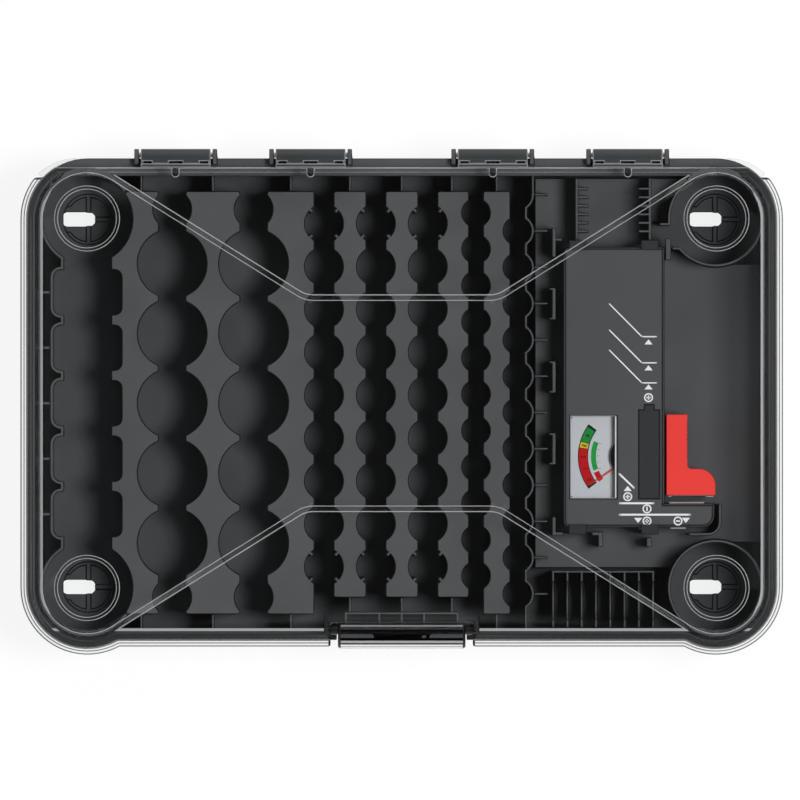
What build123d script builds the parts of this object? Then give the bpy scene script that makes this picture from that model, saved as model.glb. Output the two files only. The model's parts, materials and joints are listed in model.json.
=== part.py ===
from build123d import *
import math
import os

# Battery storage case with a hinged clear lid and a battery tester clipped inside.
# Millimetres. Origin: middle of the four feet, on the plane they stand on.
# +X runs along the long side, +Y points to the hinges, +Z is up.

# ---- case plan
cup_x = 123.7            # feet and corner D cell pockets, from the middle
cup_below_tester = 4.8   # front right cup to the tester's lower end
corner_r = 23.8          # outer corner radius, about each corner pocket
front_offset = 20.6      # straight latch side, from the corner pockets' centre line
junction_r = 3.0         # where the latch side runs into a bulging corner
wall = 2.4
rim_width = 3.3
rim_depth = 3.0
ledge_width = 7.0        # rear rim, wider because the lid's rear wall stands on it

# ---- case levels
foot_height = 2.0
floor_thickness = 2.0
base_height = 46.0       # table to rim
deck_drop = 6.0          # rim down to the tops of the pocket webs
shelf_height = 14.0      # floor up to the tester shelf

# ---- feet: hollow, with a keyhole slot to hang the case by
foot_r = 11.2
dimple_r = 10.0
dimple_depth = 1.8
disc_r = 8.8
disc_depth = 1.0
ear_half = 5.05
slot_half = 2.8
slot_run = 8.0           # end centre to end centre
foot_rib_width = 1.8

# ---- pocket rows
d_r = 17.75
bay_length = 27.0        # square cell bays
bay_width = 17.8
bay_corner = 3.0
bay_gap = 4.05
bay_neck = 18.8
c_r = 13.7
c_gap = 0.1
c_neck = 10.7
aa_r = 7.6
aa_gap = 1.7
aa_neck = 7.7
aaa_r = 5.6
aaa_gap = 3.1
aaa_neck = 5.7
web_bay_c = 6.1          # least web between one row's pockets and the next row's
web_c = 4.7
web_c_aa = 6.4
web_aa = 5.25
web_aa_aaa = 5.8
web_aaa = 5.1
tray_wall = 1.5
scallop_wall = 1.3
wavy_wall_thickness = 1.0
tray_rear = 10.9         # web ends, beyond the corner pockets' centre line
tray_front = 10.5
latch_bay_set_back = 6.6  # shorter webs behind the latch
first_aa_margin = 5.1    # web end to first pocket
first_aaa_margin = 2.9
last_margin = 1.5
web_corner = 1.0
nub_width = 1.4
nub_reach = 1.4          # cell retaining nubs in the first and last AA pockets
end_rib = 1.0
rib_drop = 2.0           # rib tops below the deck
square_web_rib_shift = 4.5   # end ribs off the middle of an uneven web
c_aa_web_rib_shift = 0.8
side_rib = 0.9
side_rib_height = 12.0   # from the deck down
side_rib_drop = 1.0
side_rib_turn = 22.5     # degrees between the ribs round a corner pocket

# ---- tester shelf, cups, comb and rack
shelf_thickness = 2.0
shelf_margin = 0.4
cup_wall = 1.15
cup_mouth_low = 11.1     # opening of the rear right cup, below its centre
cup_mouth_high = 2.6
mouth_arm = 1.1
mouth_run = 8.0          # shelf cut back in front of the mouth
mouth_clear = 0.3
mouth_start = 8.0        # ring opened from here outwards
low_arm_length = 3.3
high_arm_length = 4.5
arm_bed = 0.4
shelf_cup_overlap = 6.0
shelf_cup_cut = 4.0
gusset_length = 5.4
gusset_width = 0.9
comb_length = 24.5
comb_wall = 1.2
comb_tooth = 4.0
comb_tooth_width = 1.1
comb_pitch = 3.36
comb_teeth = 6
comb_inner = 27.6
comb_from_right = 5.1    # its right side, from the tester's right side
comb_past_tray = 5.2
comb_first_tooth = 4.2
rack_pitch = 5.63
rack_plates = 8
rack_plate = 1.0
rack_height = 32.0       # floor to plate tops
rack_floor = 8.5         # floor to the rack's own floor
rack_dip_r = 7.6
rack_dip_shift = 0.6
rack_past_tester = 4.5   # its left end, beyond the tester's left side
rack_from_cup = 6.7      # its rear wall, from the right cups' centre line
rack_front_gap = 1.4
bracket_height = 20.0
bracket_wall = 1.5
bracket_lug = 0.9
bracket_lug_reach = 1.1
guide_from_top = (16.05, 44.9, 73.2)   # side guides, from the tester's top
guide_length = 12.55
guide_gap = 2.9          # side guides to the tester
foot_guide_gap = 1.8     # guides below the tester, to the tester
foot_guide_wall = 1.4
hook_guide_from_left = 11.3
hook_guide_length = 4.3
hook_guide_drop = 5.9
peg_from_right = 7.0
peg_width = 2.0
peg_near = 2.2
peg_far = 6.0
corner_guide_wall = 1.2
corner_guide_from_right = 10.2
corner_guide_gap = 2.2   # corner guide to the tester's foot
corner_guide_short = 0.7   # its upper end, below the anvil top
side_stop_gap = 0.4
side_stop_wall = 2.2
side_stop_below = 5.1    # side stop, from the tester's top
side_stop_above = 3.5
corner_lug_reach = 2.4
corner_guide_length = 7.5

# ---- tester
tester_from_cup = 20.2   # its right side, from the right cups' centre line
tester_width = 39.8
tester_top_from_cup = 11.1
tester_length = 110.4
tester_thickness = 26.0
tester_split = 13.0
tester_wall = 1.8
tester_corner = 2.4
tester_edge = 0.8
anvil_reach = 19.7       # foot of the tester that cells stand on
anvil_depth = 9.4
anvil_corner = 4.7
cell_mark_width = 8.1    # sunk outline of a cell on the tester's face
cell_mark_from_right = 10.1
cell_mark_rise = 2.1     # its shoulder, above the window's top
cell_cap_width = 3.7
cell_cap_height = 2.1
cell_mark_depth = 0.3
clip_width = 6.7
clip_leg = 1.6
clip_gap = 1.1
clip_overlap = 1.2
clip_hook = 1.8
clip_play = 0.2
left_clip_from_left = 2.2
right_clip_from_right = 9.1

# ---- sliding arm
slider_gap = 0.75
slider_rest = 3.2        # arm to anvil at rest
slider_travel = 59.0
slider_bar = 8.35
slider_length = 31.9
slider_foot = 10.5
slider_reach = 19.35
slider_round = 6.7
slider_inner_round = 1.5
slider_clear = 4.0       # shelf to arm
slider_thickness = 20.0
slider_key_length = 18.0
slider_key_height = 3.0
slider_key_flange = 1.6
slider_flange_height = 8.0
key_play = 0.3
grip_pitch = 1.7
grip_groove = 0.35
contact_thickness = 0.6
contact_height = 9.0

# ---- meter
dial_from_right = 12.8   # needle pivot, from the tester's right side
dial_from_bottom = 27.9
window_length = 32.8
window_width = 18.5
window_from_left = 2.6
window_from_bottom = 11.3
needle_length = 20.6
needle_width = 0.7
needle_rest_angle = 213.8
hub_r = 8.5
magnet_r = 7.4
magnet_bore_r = 4.6
magnet_height = 10.0
spindle_r = 0.6
spindle_play = 0.05
dial_thickness = 0.6
dial_drop = 6.0          # tester face down to the dial
lens_flange = 1.2
board_gap = 11.8         # load board to the window's upper end
board_from_top = 14.0
lens_thickness = 0.9

# ---- lid
lid_gap = 0.3            # lid above the rim
lid_height = 18.0        # rim to the lid's low panels
lid_wall = 2.0
lid_edge = 3.0
lid_rear_set_in = 3.6    # lid's rear wall, inside the base's rear face
lip_gap = 1.0
lip_wall = 1.6
lip_depth = 2.4
lip_height = 2.0
lip_end_angle = 41.0
panel_rise = 4.0
panel_slope = 2.0
lobe_r = 18.1
waist_half = 40.5
waist_angle = 32.0
waist_r = 12.0
ring_r = 11.4
ring_width = 1.6
ring_height = 1.5

# ---- hinges
hinge_inner_x = 35.85
hinge_outer_x = 88.95
hinge_length = 32.6
ear_width = 1.8
leaf_play = 0.75
pin_back = 1.3           # pin behind the rear face
pin_rise = 3.0           # pin above the rim
knuckle_r = 2.4
hinge_pin_r = 1.0
running_play = 0.05
leaf_thickness = 1.5
leaf_height = 10.0
leaf_side_slot = 3.4
leaf_middle_slot = 5.4
leaf_slot_edge = 0.95    # plain ends of a leaf, outside its slots
ear_drop = 9.0           # rim down to the ear's foot
ear_inset = 2.6          # ear's front edge, inside the rear face
ear_bed = 1.0            # how far an ear is sunk into the rear wall

# ---- latch
latch_bay_half = 28.0
latch_bay_depth = 6.4    # lid's bay, behind the straight latch side
latch_half = 25.1
latch_pin_back = 4.0     # pin behind the straight latch side
latch_pin_rise = 11.0
latch_pin_r = 1.2
latch_knuckle_r = 2.0
latch_head_r = 1.9
latch_wall = 1.5
latch_reach = 3.3        # front face beyond the straight latch side
catch_half = 11.6
catch_drop = 4.0         # rim down to the catch's top
catch_thickness = 4.2
catch_taper = 1.6
catch_window_half = 0.8
catch_window_wall = 0.9
latch_hook_play = 0.8
latch_hook = 2.0
latch_hook_reach = 2.5
latch_tail = 3.0         # finger lip, below the hook
front_recess = 2.3
catch_gap = 0.4
bay_rib_x = 8.8
bay_rib = 1.0
bay_wall_half = 22.5
bay_wall_y = 10.9        # cross wall behind the latch, from the straight latch side

# ---- places that follow from the sizes above
# the tester lies between the two right-hand cups, so its length sets the case's depth
cup_y = (tester_top_from_cup + tester_length + cup_below_tester + d_r + cup_wall) / 2
front_y = cup_y + front_offset
rear_y = cup_y + corner_r
half_length = cup_x + corner_r
floor_z = foot_height + floor_thickness
deck_z = base_height - deck_drop
shelf_z = floor_z + shelf_height
tray_rear_y = cup_y + tray_rear
tray_front_y = -(cup_y + tray_front)
tray_latch_y = tray_front_y + latch_bay_set_back
c1_x = -cup_x + bay_length / 2 + web_bay_c + c_r
c2_x = c1_x + 2 * c_r + web_c
aa1_x = c2_x + c_r + web_c_aa + aa_r
aa2_x = aa1_x + 2 * aa_r + web_aa
aa3_x = aa2_x + 2 * aa_r + web_aa
aaa1_x = aa3_x + aa_r + web_aa_aaa + aaa_r
aaa2_x = aaa1_x + 2 * aaa_r + web_aaa
wavy_x = aaa2_x + aaa_r + wavy_wall_thickness
inner_x = half_length - wall
inner_rear_y = rear_y - wall
inner_front_y = front_y - wall

tester_x1 = cup_x - tester_from_cup
tester_x0 = tester_x1 - tester_width
tester_y1 = cup_y - tester_top_from_cup
tester_y0 = tester_y1 - tester_length
tester_z1 = shelf_z + tester_thickness
tester_split_z = shelf_z + tester_split
anvil_y1 = tester_y0 + anvil_depth
dial_x = tester_x1 - dial_from_right
dial_y = tester_y0 + dial_from_bottom
dial_z = tester_z1 - dial_drop
window_x0 = tester_x0 + window_from_left
window_x1 = window_x0 + window_width
window_y0 = tester_y0 + window_from_bottom
window_y1 = window_y0 + window_length

lid_z0 = base_height + lid_gap
lid_z1 = base_height + lid_height
panel_z = lid_z1 + panel_rise
lid_rear_y = rear_y - lid_rear_set_in
pin_y = rear_y + pin_back
pin_z = base_height + pin_rise
bay_y = -(front_y - latch_bay_depth)
latch_y = -(front_y - latch_pin_back)
latch_z = base_height + latch_pin_rise
latch_face_y = -(front_y + latch_reach)
catch_z1 = base_height - catch_drop
catch_z0 = catch_z1 - catch_thickness
recess_y = front_y - front_recess
hinges_x = (-hinge_outer_x, -hinge_inner_x, hinge_inner_x, hinge_outer_x)
cups = [(sx * cup_x, sy * cup_y) for sx in (-1, 1) for sy in (-1, 1)]


# ---- small helpers
def rect(x0, x1, y0, y1):
    """Plan rectangle between two corners."""
    return Pos((x0 + x1) / 2, (y0 + y1) / 2) * Rectangle(x1 - x0, y1 - y0)


def prism(plan, z0, z1):
    """A plan shape raised from z0 to z1."""
    return extrude(Pos(0, 0, z0) * plan, amount=z1 - z0)


def slab(x0, x1, y0, y1, z0, z1):
    """A box between two corners."""
    return Pos((x0 + x1) / 2, (y0 + y1) / 2, (z0 + z1) / 2) * Box(x1 - x0, y1 - y0, z1 - z0)


def post(x, y, r, z0, z1):
    """An upright cylinder."""
    return Pos(x, y, (z0 + z1) / 2) * Cylinder(r, z1 - z0)


def rod(x0, x1, y, z, r):
    """A cylinder along X."""
    return Pos((x0 + x1) / 2, y, z) * Rot(0, 90, 0) * Cylinder(r, x1 - x0)


def side_prism(points, x0, x1):
    """A side profile, points of (y, z), carried from x0 to x1."""
    outline = Polyline(*[(x0, y, z) for y, z in points], close=True)
    return extrude(make_face(outline), amount=x1 - x0, dir=(1, 0, 0))


def near_vertices(plan, spots, reach=0.3):
    """The plan's corners that lie at the given spots."""
    return [v for v in plan.vertices() if any(math.hypot(v.X - x, v.Y - y) < reach for x, y in spots)]


def save(name, shape):
    export_step(shape, f"parts/{name}.step")


# ---- case plan
def case_plan(inset):
    """The base's outline, moved inwards by inset, or outwards where it is negative."""
    r = corner_r - inset
    front = front_y - inset
    plan = rect(-half_length + inset, half_length - inset, -cup_y, cup_y)
    plan += rect(-cup_x, cup_x, -front, rear_y - inset)
    for x, y in cups:
        plan += Pos(x, y) * Circle(r)
    reach = cup_x - math.sqrt(r ** 2 - (front - cup_y) ** 2)
    corners = near_vertices(plan, [(-reach, -front), (reach, -front)])
    return fillet(corners, junction_r + inset)


def lid_plan(inset):
    """The lid's wall: the case plan, cut short at the rear and set back round the latch."""
    far = 2 * half_length
    plan = case_plan(inset)
    plan -= rect(-far, far, lid_rear_y - inset, far)
    plan -= rect(-latch_bay_half - inset, latch_bay_half + inset, -far, bay_y + inset)
    return plan


# ---- pocket rows: each is a plan, grown by the wall where it is asked to be
def row(first, pitch, last):
    """Pocket centres from first towards -Y, none past last."""
    return [first - i * pitch for i in range(int((first - last) / pitch) + 1)]


def centred_row(pitch, half_space):
    """As many pocket centres as fit, about the middle."""
    count = int(2 * half_space / pitch)
    return [(i - (count - 1) / 2) * pitch for i in range(count)]


c_rows = centred_row(2 * c_r + c_gap, tray_rear_y - 2 * aa_r + 1)
c_end_y = max(c_rows) + c_r + c_gap + aa_r
bay_rows = centred_row(bay_width + bay_gap, cup_y - d_r)
aa_rows = row(tray_rear_y - first_aa_margin - aa_r, 2 * aa_r + aa_gap, tray_latch_y + last_margin + aa_r)
aaa_pitch = 2 * aaa_r + aaa_gap
aaa1_first = tray_rear_y - first_aaa_margin - aaa_r
aaa1_rows = row(aaa1_first, aaa_pitch, tray_latch_y + last_margin + aaa_r)
aaa2_rows = row(aaa1_first - aaa_pitch / 2, aaa_pitch, tray_front_y + last_margin + aaa_r)


def channel(x, neck, grow):
    """The neck that joins a row's pockets, past both ends of the tray."""
    return rect(x - neck / 2 - grow, x + neck / 2 + grow, -2 * cup_y, 2 * cup_y)


def pockets(plan, x, rows, r):
    for y in rows:
        plan += Pos(x, y) * Circle(r)
    return plan


def bay_column(grow):
    plan = rect(-cup_x - bay_neck / 2 - grow, -cup_x + bay_neck / 2 + grow, -cup_y, cup_y)
    for y in bay_rows:
        bay = RectangleRounded(bay_length + 2 * grow, bay_width + 2 * grow, bay_corner + grow)
        plan += Pos(-cup_x, y) * bay
    return pockets(plan, -cup_x, (-cup_y, cup_y), d_r + grow)


def c_column(x, grow):
    plan = pockets(channel(x, c_neck, grow), x, c_rows, c_r + grow)
    return pockets(plan, x, (-c_end_y, c_end_y), aa_r + grow)


def aa_column(x, grow):
    return pockets(channel(x, aa_neck, grow), x, aa_rows, aa_r + grow)


def aaa_column(x, rows, grow):
    return pockets(channel(x, aaa_neck, grow), x, rows, aaa_r + grow)


def web(x0, x1, y0, left, right):
    """A hollow web between the centre lines of two rows, open underneath."""
    outer = rect(x0, x1, y0, tray_rear_y) - left(0) - right(0)
    inner = rect(x0, x1, y0 + tray_wall, tray_rear_y - tray_wall)
    inner = inner - left(tray_wall) - right(tray_wall)
    block = prism(outer, floor_z, deck_z)
    ends = [e for e in block.edges().filter_by(Axis.Z)
            if min(abs(e.center().Y - y0), abs(e.center().Y - tray_rear_y)) < 0.01]
    return fillet(ends, web_corner) - prism(inner, floor_z, deck_z - tray_wall)


def nubs(x, side):
    """Cell retaining nubs on one side of an AA row, on the diagonals of its end pockets."""
    made = []
    for y in (aa_rows[0], aa_rows[-1]):
        for angle in (45, -45):
            turn = angle if side > 0 else 180 - angle
            place = Pos(x, y) * Rot(0, 0, turn) * Pos(aa_r, 0)
            made.append(prism(place * Rectangle(nub_reach * 2, nub_width), floor_z, deck_z))
    return made


def add_nubs(shape, left_x=None, right_x=None):
    for x, side in ((left_x, 1), (right_x, -1)):
        if x is not None:
            for nub in nubs(x, side):
                shape += nub
    return shape


def make_webs():
    c1 = lambda grow: c_column(c1_x, grow)
    c2 = lambda grow: c_column(c2_x, grow)
    aa1 = lambda grow: aa_column(aa1_x, grow)
    aa2 = lambda grow: aa_column(aa2_x, grow)
    aa3 = lambda grow: aa_column(aa3_x, grow)
    aaa1 = lambda grow: aaa_column(aaa1_x, aaa1_rows, grow)
    aaa2 = lambda grow: aaa_column(aaa2_x, aaa2_rows, grow)
    save("web_square_to_c", web(-cup_x, c1_x, tray_front_y, bay_column, c1))
    save("web_c_to_c", web(c1_x, c2_x, tray_front_y, c1, c2))
    save("web_c_to_aa", add_nubs(web(c2_x, aa1_x, tray_front_y, c2, aa1), right_x=aa1_x))
    save("web_aa_left", add_nubs(web(aa1_x, aa2_x, tray_latch_y, aa1, aa2), aa1_x, aa2_x))
    save("web_aa_right", add_nubs(web(aa2_x, aa3_x, tray_latch_y, aa2, aa3), aa2_x, aa3_x))
    save("web_aa_to_aaa", add_nubs(web(aa3_x, aaa1_x, tray_latch_y, aa3, aaa1), left_x=aa3_x))
    save("web_aaa", web(aaa1_x, aaa2_x, tray_front_y, aaa1, aaa2))


def make_square_cell_wall():
    """Thin scalloped wall on the outer side of the square cell bays and the left D pockets."""
    plan = bay_column(scallop_wall) - bay_column(0)
    plan -= rect(-cup_x, c1_x, tray_front_y, tray_rear_y)
    save("square_cell_wall", prism(plan, floor_z, deck_z))


def make_wavy_wall():
    """Thin wall that follows the last AAA row, with a gusset at each pocket."""
    gusset_rows = [aaa2_rows[0] + aaa_pitch] + aaa2_rows
    extra = [gusset_rows[0]]

    def side(grow):
        plan = aaa_column(aaa2_x, aaa2_rows + extra, grow)
        return plan + rect(aaa2_x, aaa2_x + aaa_r + grow, extra[0], 2 * cup_y)

    plan = side(wavy_wall_thickness) - side(0)
    plan &= rect(aaa2_x, wavy_x + 1, -inner_front_y + shelf_margin, inner_rear_y - shelf_margin)
    shape = prism(plan, floor_z, deck_z)
    for y in gusset_rows:
        low = shelf_z if y > rack_y1 else floor_z
        shape += slab(wavy_x - wavy_wall_thickness / 2, wavy_x + gusset_length,
                      y - gusset_width / 2, y + gusset_width / 2, low, deck_z - rib_drop)
    save("wavy_wall", shape)


# ---- ribs between the tray and the case
def make_end_ribs():
    """Upright ribs from the webs' ends to the front and rear walls."""
    long_webs = [(-cup_x + c1_x) / 2 + square_web_rib_shift, (c1_x + c2_x) / 2,
                 (c2_x + aa1_x) / 2 + c_aa_web_rib_shift, (aaa1_x + aaa2_x) / 2]
    short_webs = [(aa1_x + aa2_x) / 2, (aa2_x + aa3_x) / 2, (aa3_x + aaa1_x) / 2]
    top = deck_z - rib_drop
    ribs = []
    for x in long_webs + short_webs:
        near = tray_latch_y if x in short_webs else tray_front_y
        far = bay_cross_y if abs(x) < bay_wall_half else -inner_front_y
        ribs.append(slab(x - end_rib / 2, x + end_rib / 2, tray_rear_y, inner_rear_y, floor_z, top))
        ribs.append(slab(x - end_rib / 2, x + end_rib / 2, far, near, floor_z, top))
    save("tray_end_ribs", Compound(children=ribs))


def make_side_ribs():
    """Short ribs round the corner pockets and beside the square cell bays."""
    ribs = []
    z0 = deck_z - side_rib_height
    for x, y in cups:
        outer = corner_r - wall
        inner = d_r + (scallop_wall if x < 0 else cup_wall)
        start = 90 if x < 0 else 0
        for i in range(3):
            turn = start + side_rib_turn * (i + 1)
            turn = turn if y > 0 else -turn
            across = Rectangle(outer - inner - 0.1, side_rib)
            plan = Pos(x, y) * Rot(0, 0, turn) * Pos((inner + outer) / 2, 0) * across
            ribs.append(prism(plan, z0, deck_z - side_rib_drop))
    for y in bay_rows:
        ribs.append(slab(-inner_x, -cup_x - bay_length / 2 - scallop_wall,
                         y - side_rib / 2, y + side_rib / 2, z0, deck_z - side_rib_drop))
    save("tray_side_ribs", Compound(children=ribs))


# ---- base
def foot_marks():
    """What each foot takes out of the floor: dimple, disc, ear and slot, less three ribs."""
    top = floor_z + 1
    disc_z = floor_z - dimple_depth - disc_depth
    cut = post(0, 0, dimple_r, floor_z - dimple_depth, top)
    low = Circle(disc_r) + (Circle(dimple_r) & rect(-dimple_r, 0, -ear_half, ear_half))
    cut += prism(low, disc_z, top)
    for turn in (0, 90, 270):
        rib = Rot(0, 0, turn) * rect(slot_half - 0.2, disc_r, -foot_rib_width / 2, foot_rib_width / 2)
        cut -= prism(rib, disc_z, floor_z - dimple_depth)
    slot = Pos(-slot_run / 2, 0) * SlotCenterToCenter(slot_run, 2 * slot_half)
    return cut + prism(slot, -1, disc_z)


def hinge_ear(x):
    """One ear: a gusset up the rear wall that ends round the pin."""
    foot_z = base_height - ear_drop
    front = rear_y - ear_inset
    back = pin_y + knuckle_r
    points = [(rear_y - ear_bed, foot_z), (rear_y, foot_z), (back, base_height - ear_bed), (back, pin_z),
              (pin_y, pin_z + knuckle_r), (front, pin_z + knuckle_r), (front, base_height - ear_bed / 2),
              (rear_y - ear_bed, base_height - ear_bed)]
    ear = side_prism(points, x, x + ear_width) + rod(x, x + ear_width, pin_y, pin_z, knuckle_r)
    return ear - rod(x - 1, x + ear_width + 1, pin_y, pin_z, hinge_pin_r)


def catch():
    """The latch's catch on the front wall, with its two drain windows."""
    y1 = -recess_y
    y0 = latch_face_y + latch_wall + catch_gap
    plan = Polyline((-catch_half, y1 + 0.5), (-catch_half + catch_taper, y0),
                    (catch_half - catch_taper, y0), (catch_half, y1 + 0.5), close=True)
    shape = prism(make_face(plan), catch_z0, catch_z1)
    for x in (-bay_rib_x, bay_rib_x):
        shape -= slab(x - catch_window_half, x + catch_window_half,
                      y0 + catch_window_wall, y1 - catch_gap, catch_z0 - 1, catch_z1 + 1)
    return shape


bay_cross_y = -(front_y - bay_wall_y)


def make_base():
    body = prism(case_plan(0), foot_height, base_height)
    for x, y in cups:
        body += post(x, y, foot_r, 0, foot_height)
    body -= prism(case_plan(wall), floor_z, base_height - rim_depth)
    rim_hole = case_plan(rim_width) - rect(-half_length, half_length, rear_y - ledge_width, 2 * rear_y)
    body -= prism(rim_hole, base_height - rim_depth, base_height)
    half = latch_bay_half - wall
    body += slab(-latch_bay_half, latch_bay_half, -recess_y, -recess_y + wall, foot_height, base_height)
    body -= slab(-half, half, -front_y - 1, -recess_y, foot_height - 1, base_height + 1)
    body += slab(-latch_bay_half, latch_bay_half, -recess_y, -recess_y + rim_width,
                 base_height - rim_depth, base_height)
    for x, y in cups:
        body -= Pos(x, y) * foot_marks()
    for x in hinges_x:
        body += hinge_ear(x - hinge_length / 2)
        body += hinge_ear(x + hinge_length / 2 - ear_width)
    save("case_base", body + catch())


def make_latch_bay_walls():
    """Cross wall and ribs that stiffen the front wall behind the catch."""
    y1 = bay_cross_y
    y0 = -recess_y + wall
    z1 = deck_z
    shape = slab(-bay_wall_half, bay_wall_half, y1 - bay_rib, y1, floor_z, z1)
    for x in (-bay_wall_half + bay_rib / 2, -bay_rib_x, 0, bay_rib_x, bay_wall_half - bay_rib / 2):
        shape += slab(x - bay_rib / 2, x + bay_rib / 2, y0, y1, floor_z, z1)
    save("latch_bay_walls", shape)


def make_hinge_pins():
    for i, x in enumerate(hinges_x, 1):
        save(f"hinge_pin_{i}", rod(x - hinge_length / 2, x + hinge_length / 2, pin_y, pin_z, hinge_pin_r))


# ---- right-hand side: cups, shelf, comb, rack
comb_x1 = tester_x1 - comb_from_right
comb_x0 = comb_x1 - comb_inner - 2 * comb_wall
comb_y1 = tray_rear_y + comb_past_tray
rack_x0 = tester_x0 - rack_past_tester
rack_y1 = -(cup_y - rack_from_cup)
rack_y0 = -(inner_front_y - rim_width + wall) + rack_front_gap


def make_cups():
    """Round walls of the two right-hand D pockets; the rear one opens to its left."""
    for name, y in (("rear_d_cup", cup_y), ("front_d_cup", -cup_y)):
        ring = Circle(d_r + cup_wall) - Circle(d_r)
        if y > 0:
            ring -= rect(-2 * d_r, -mouth_start, -cup_mouth_low, -cup_mouth_high)
            low_x = -math.sqrt(d_r ** 2 - cup_mouth_low ** 2)
            high_x = -math.sqrt(d_r ** 2 - cup_mouth_high ** 2)
            low_y = -cup_mouth_low
            high_y = -cup_mouth_high
            ring += rect(low_x - low_arm_length, low_x - arm_bed, low_y - mouth_arm, low_y)
            ring += rect(high_x - high_arm_length, high_x - arm_bed, high_y, high_y + mouth_arm)
        save(name, prism(Pos(cup_x, y) * ring, floor_z, deck_z))


def shelf_plan(inset):
    """The shelf between the wavy wall and the case, cut round both cups."""
    left = wavy_x + shelf_margin + inset
    half = cup_y - d_r
    plan = rect(left, inner_x - shelf_margin - inset, -half + inset, half - inset)
    plan += rect(left, cup_x - shelf_cup_overlap, rack_y1 + rack_plate + inset, comb_y1 - inset)
    for side in (-1, 1):
        near = side * (cup_y - shelf_cup_cut)
        far = side * (cup_y + 2 * d_r)
        plan -= Pos(cup_x, side * cup_y) * Circle(d_r + cup_wall + 0.1 + inset)
        plan -= rect(cup_x - d_r / 2, 2 * cup_x, min(near, far), max(near, far))
    mouth_y0 = cup_y - cup_mouth_low - mouth_arm - mouth_clear - inset
    mouth_y1 = cup_y - cup_mouth_high + mouth_arm + mouth_clear + inset
    return plan - rect(cup_x - d_r - mouth_run - inset, cup_x, mouth_y0, mouth_y1)


def make_shelf():
    skirt = prism(shelf_plan(0), floor_z, shelf_z)
    save("tester_shelf", skirt - prism(shelf_plan(tray_wall), floor_z, shelf_z - shelf_thickness))


def make_comb():
    """Two toothed walls that hold coin cells on edge."""
    z1 = shelf_z + bracket_height
    y0 = comb_y1 - comb_length
    shapes = []
    for x0, side in ((comb_x0, 1), (comb_x1 - comb_wall, -1)):
        half = slab(x0, x0 + comb_wall, y0, comb_y1, shelf_z, z1)
        for i in range(comb_teeth):
            y = comb_y1 - comb_first_tooth - i * comb_pitch
            tip = x0 + comb_wall + comb_tooth if side > 0 else x0 - comb_tooth
            half += slab(min(x0 + 0.5, tip), max(x0 + 0.5, tip),
                         y - comb_tooth_width / 2, y + comb_tooth_width / 2, shelf_z, z1)
        shapes.append(half)
    save("coin_cell_comb", Compound(children=shapes))


def make_rack():
    """Row of dished plates that hold button cells on edge."""
    x1 = rack_x0 + (rack_plates - 1) * rack_pitch + rack_plate
    z1 = floor_z + rack_height
    base_z = floor_z + rack_floor
    shape = slab(rack_x0, x1, rack_y0, rack_y1, base_z - tray_wall, base_z)
    shape += slab(rack_x0, x1, rack_y1 - rack_plate, rack_y1, floor_z, z1)
    dip_y = (rack_y0 + rack_y1) / 2 - rack_dip_shift
    for i in range(rack_plates):
        x = rack_x0 + i * rack_pitch
        low = floor_z if i in (0, rack_plates - 1) else base_z - tray_wall
        shape += slab(x, x + rack_plate, rack_y0, rack_y1, low, z1)
    shape -= rod(rack_x0 - 1, x1 + 1, dip_y, z1 + 1, rack_dip_r)
    save("button_cell_rack", shape)


def make_brackets():
    """Upright guides that place the tester on its shelf."""
    z0, z1 = shelf_z, shelf_z + bracket_height
    left = tester_x0 - guide_gap
    back = left - bracket_wall
    under = tester_y0 - foot_guide_gap
    low = under - foot_guide_wall
    made = []
    for drop in guide_from_top:
        y1 = tester_y1 - drop
        y0 = y1 - guide_length
        guide = slab(back, left, y0, y1, z0, z1)
        for y in (y0, y1 - bracket_lug):
            guide += slab(back - bracket_lug_reach, left, y, y + bracket_lug, z0, z1)
        made.append(guide)
    top = slab(back, left, tester_y1 - corner_lug_reach - bracket_wall, tester_y1 + corner_guide_length, z0, z1)
    made.append(top + slab(back, left + corner_lug_reach, tester_y1 + corner_lug_reach,
                           tester_y1 + side_stop_above, z0, z1))
    bottom = slab(back, left, low, tester_y0 + side_stop_below - 1, z0, z1)
    made.append(bottom + slab(back, left + 2 * bracket_wall, low, under, z0, z1))
    hook_x0 = tester_x0 + hook_guide_from_left
    hook_x1 = hook_x0 + hook_guide_length
    hook = slab(hook_x0, hook_x1, low, under, z0, z1)
    made.append(hook + slab(hook_x1 - foot_guide_gap, hook_x1, under - hook_guide_drop, under, z0, z1))
    peg_x = tester_x1 - peg_from_right
    made.append(slab(peg_x, peg_x + peg_width, under - peg_far, under - peg_near, z0, z1))
    side_x = tester_x1 + anvil_reach + corner_guide_gap
    low_y = under - corner_guide_wall * 0.75
    corner = [(tester_x1 + corner_guide_from_right, low_y), (side_x, low_y), (side_x, anvil_y1 - corner_guide_short)]
    outer = FilletPolyline(*corner, radius=anvil_corner)
    made.append(prism(make_face(trace_band(outer, corner_guide_wall)), z0, z1))
    stop_x = tester_x1 + side_stop_gap
    made.append(slab(stop_x, stop_x + side_stop_wall,
                     tester_y1 - side_stop_below, tester_y1 + side_stop_above, z0, z1))
    save("tester_brackets", Compound(children=made))


def trace_band(line, width):
    """Closed outline of a band of even width about a line."""
    return offset(line, amount=width / 2, side=Side.BOTH).edges()


def make_clips():
    """Four hooked clips over the tester's two short sides."""
    hook_z0 = tester_z1 + clip_play
    hook_z1 = hook_z0 + clip_hook
    made = []
    for x in (tester_x0 + left_clip_from_left, tester_x1 - right_clip_from_right):
        for edge, out in ((tester_y1, 1), (tester_y0, -1)):
            near = edge + out * clip_gap
            far = near + out * clip_leg
            tip = edge - out * clip_overlap
            leg = slab(x, x + clip_width, min(near, far), max(near, far), shelf_z, hook_z1)
            made.append(leg + slab(x, x + clip_width, min(tip, far), max(tip, far), hook_z0, hook_z1))
    save("tester_clips", Compound(children=made))


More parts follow.
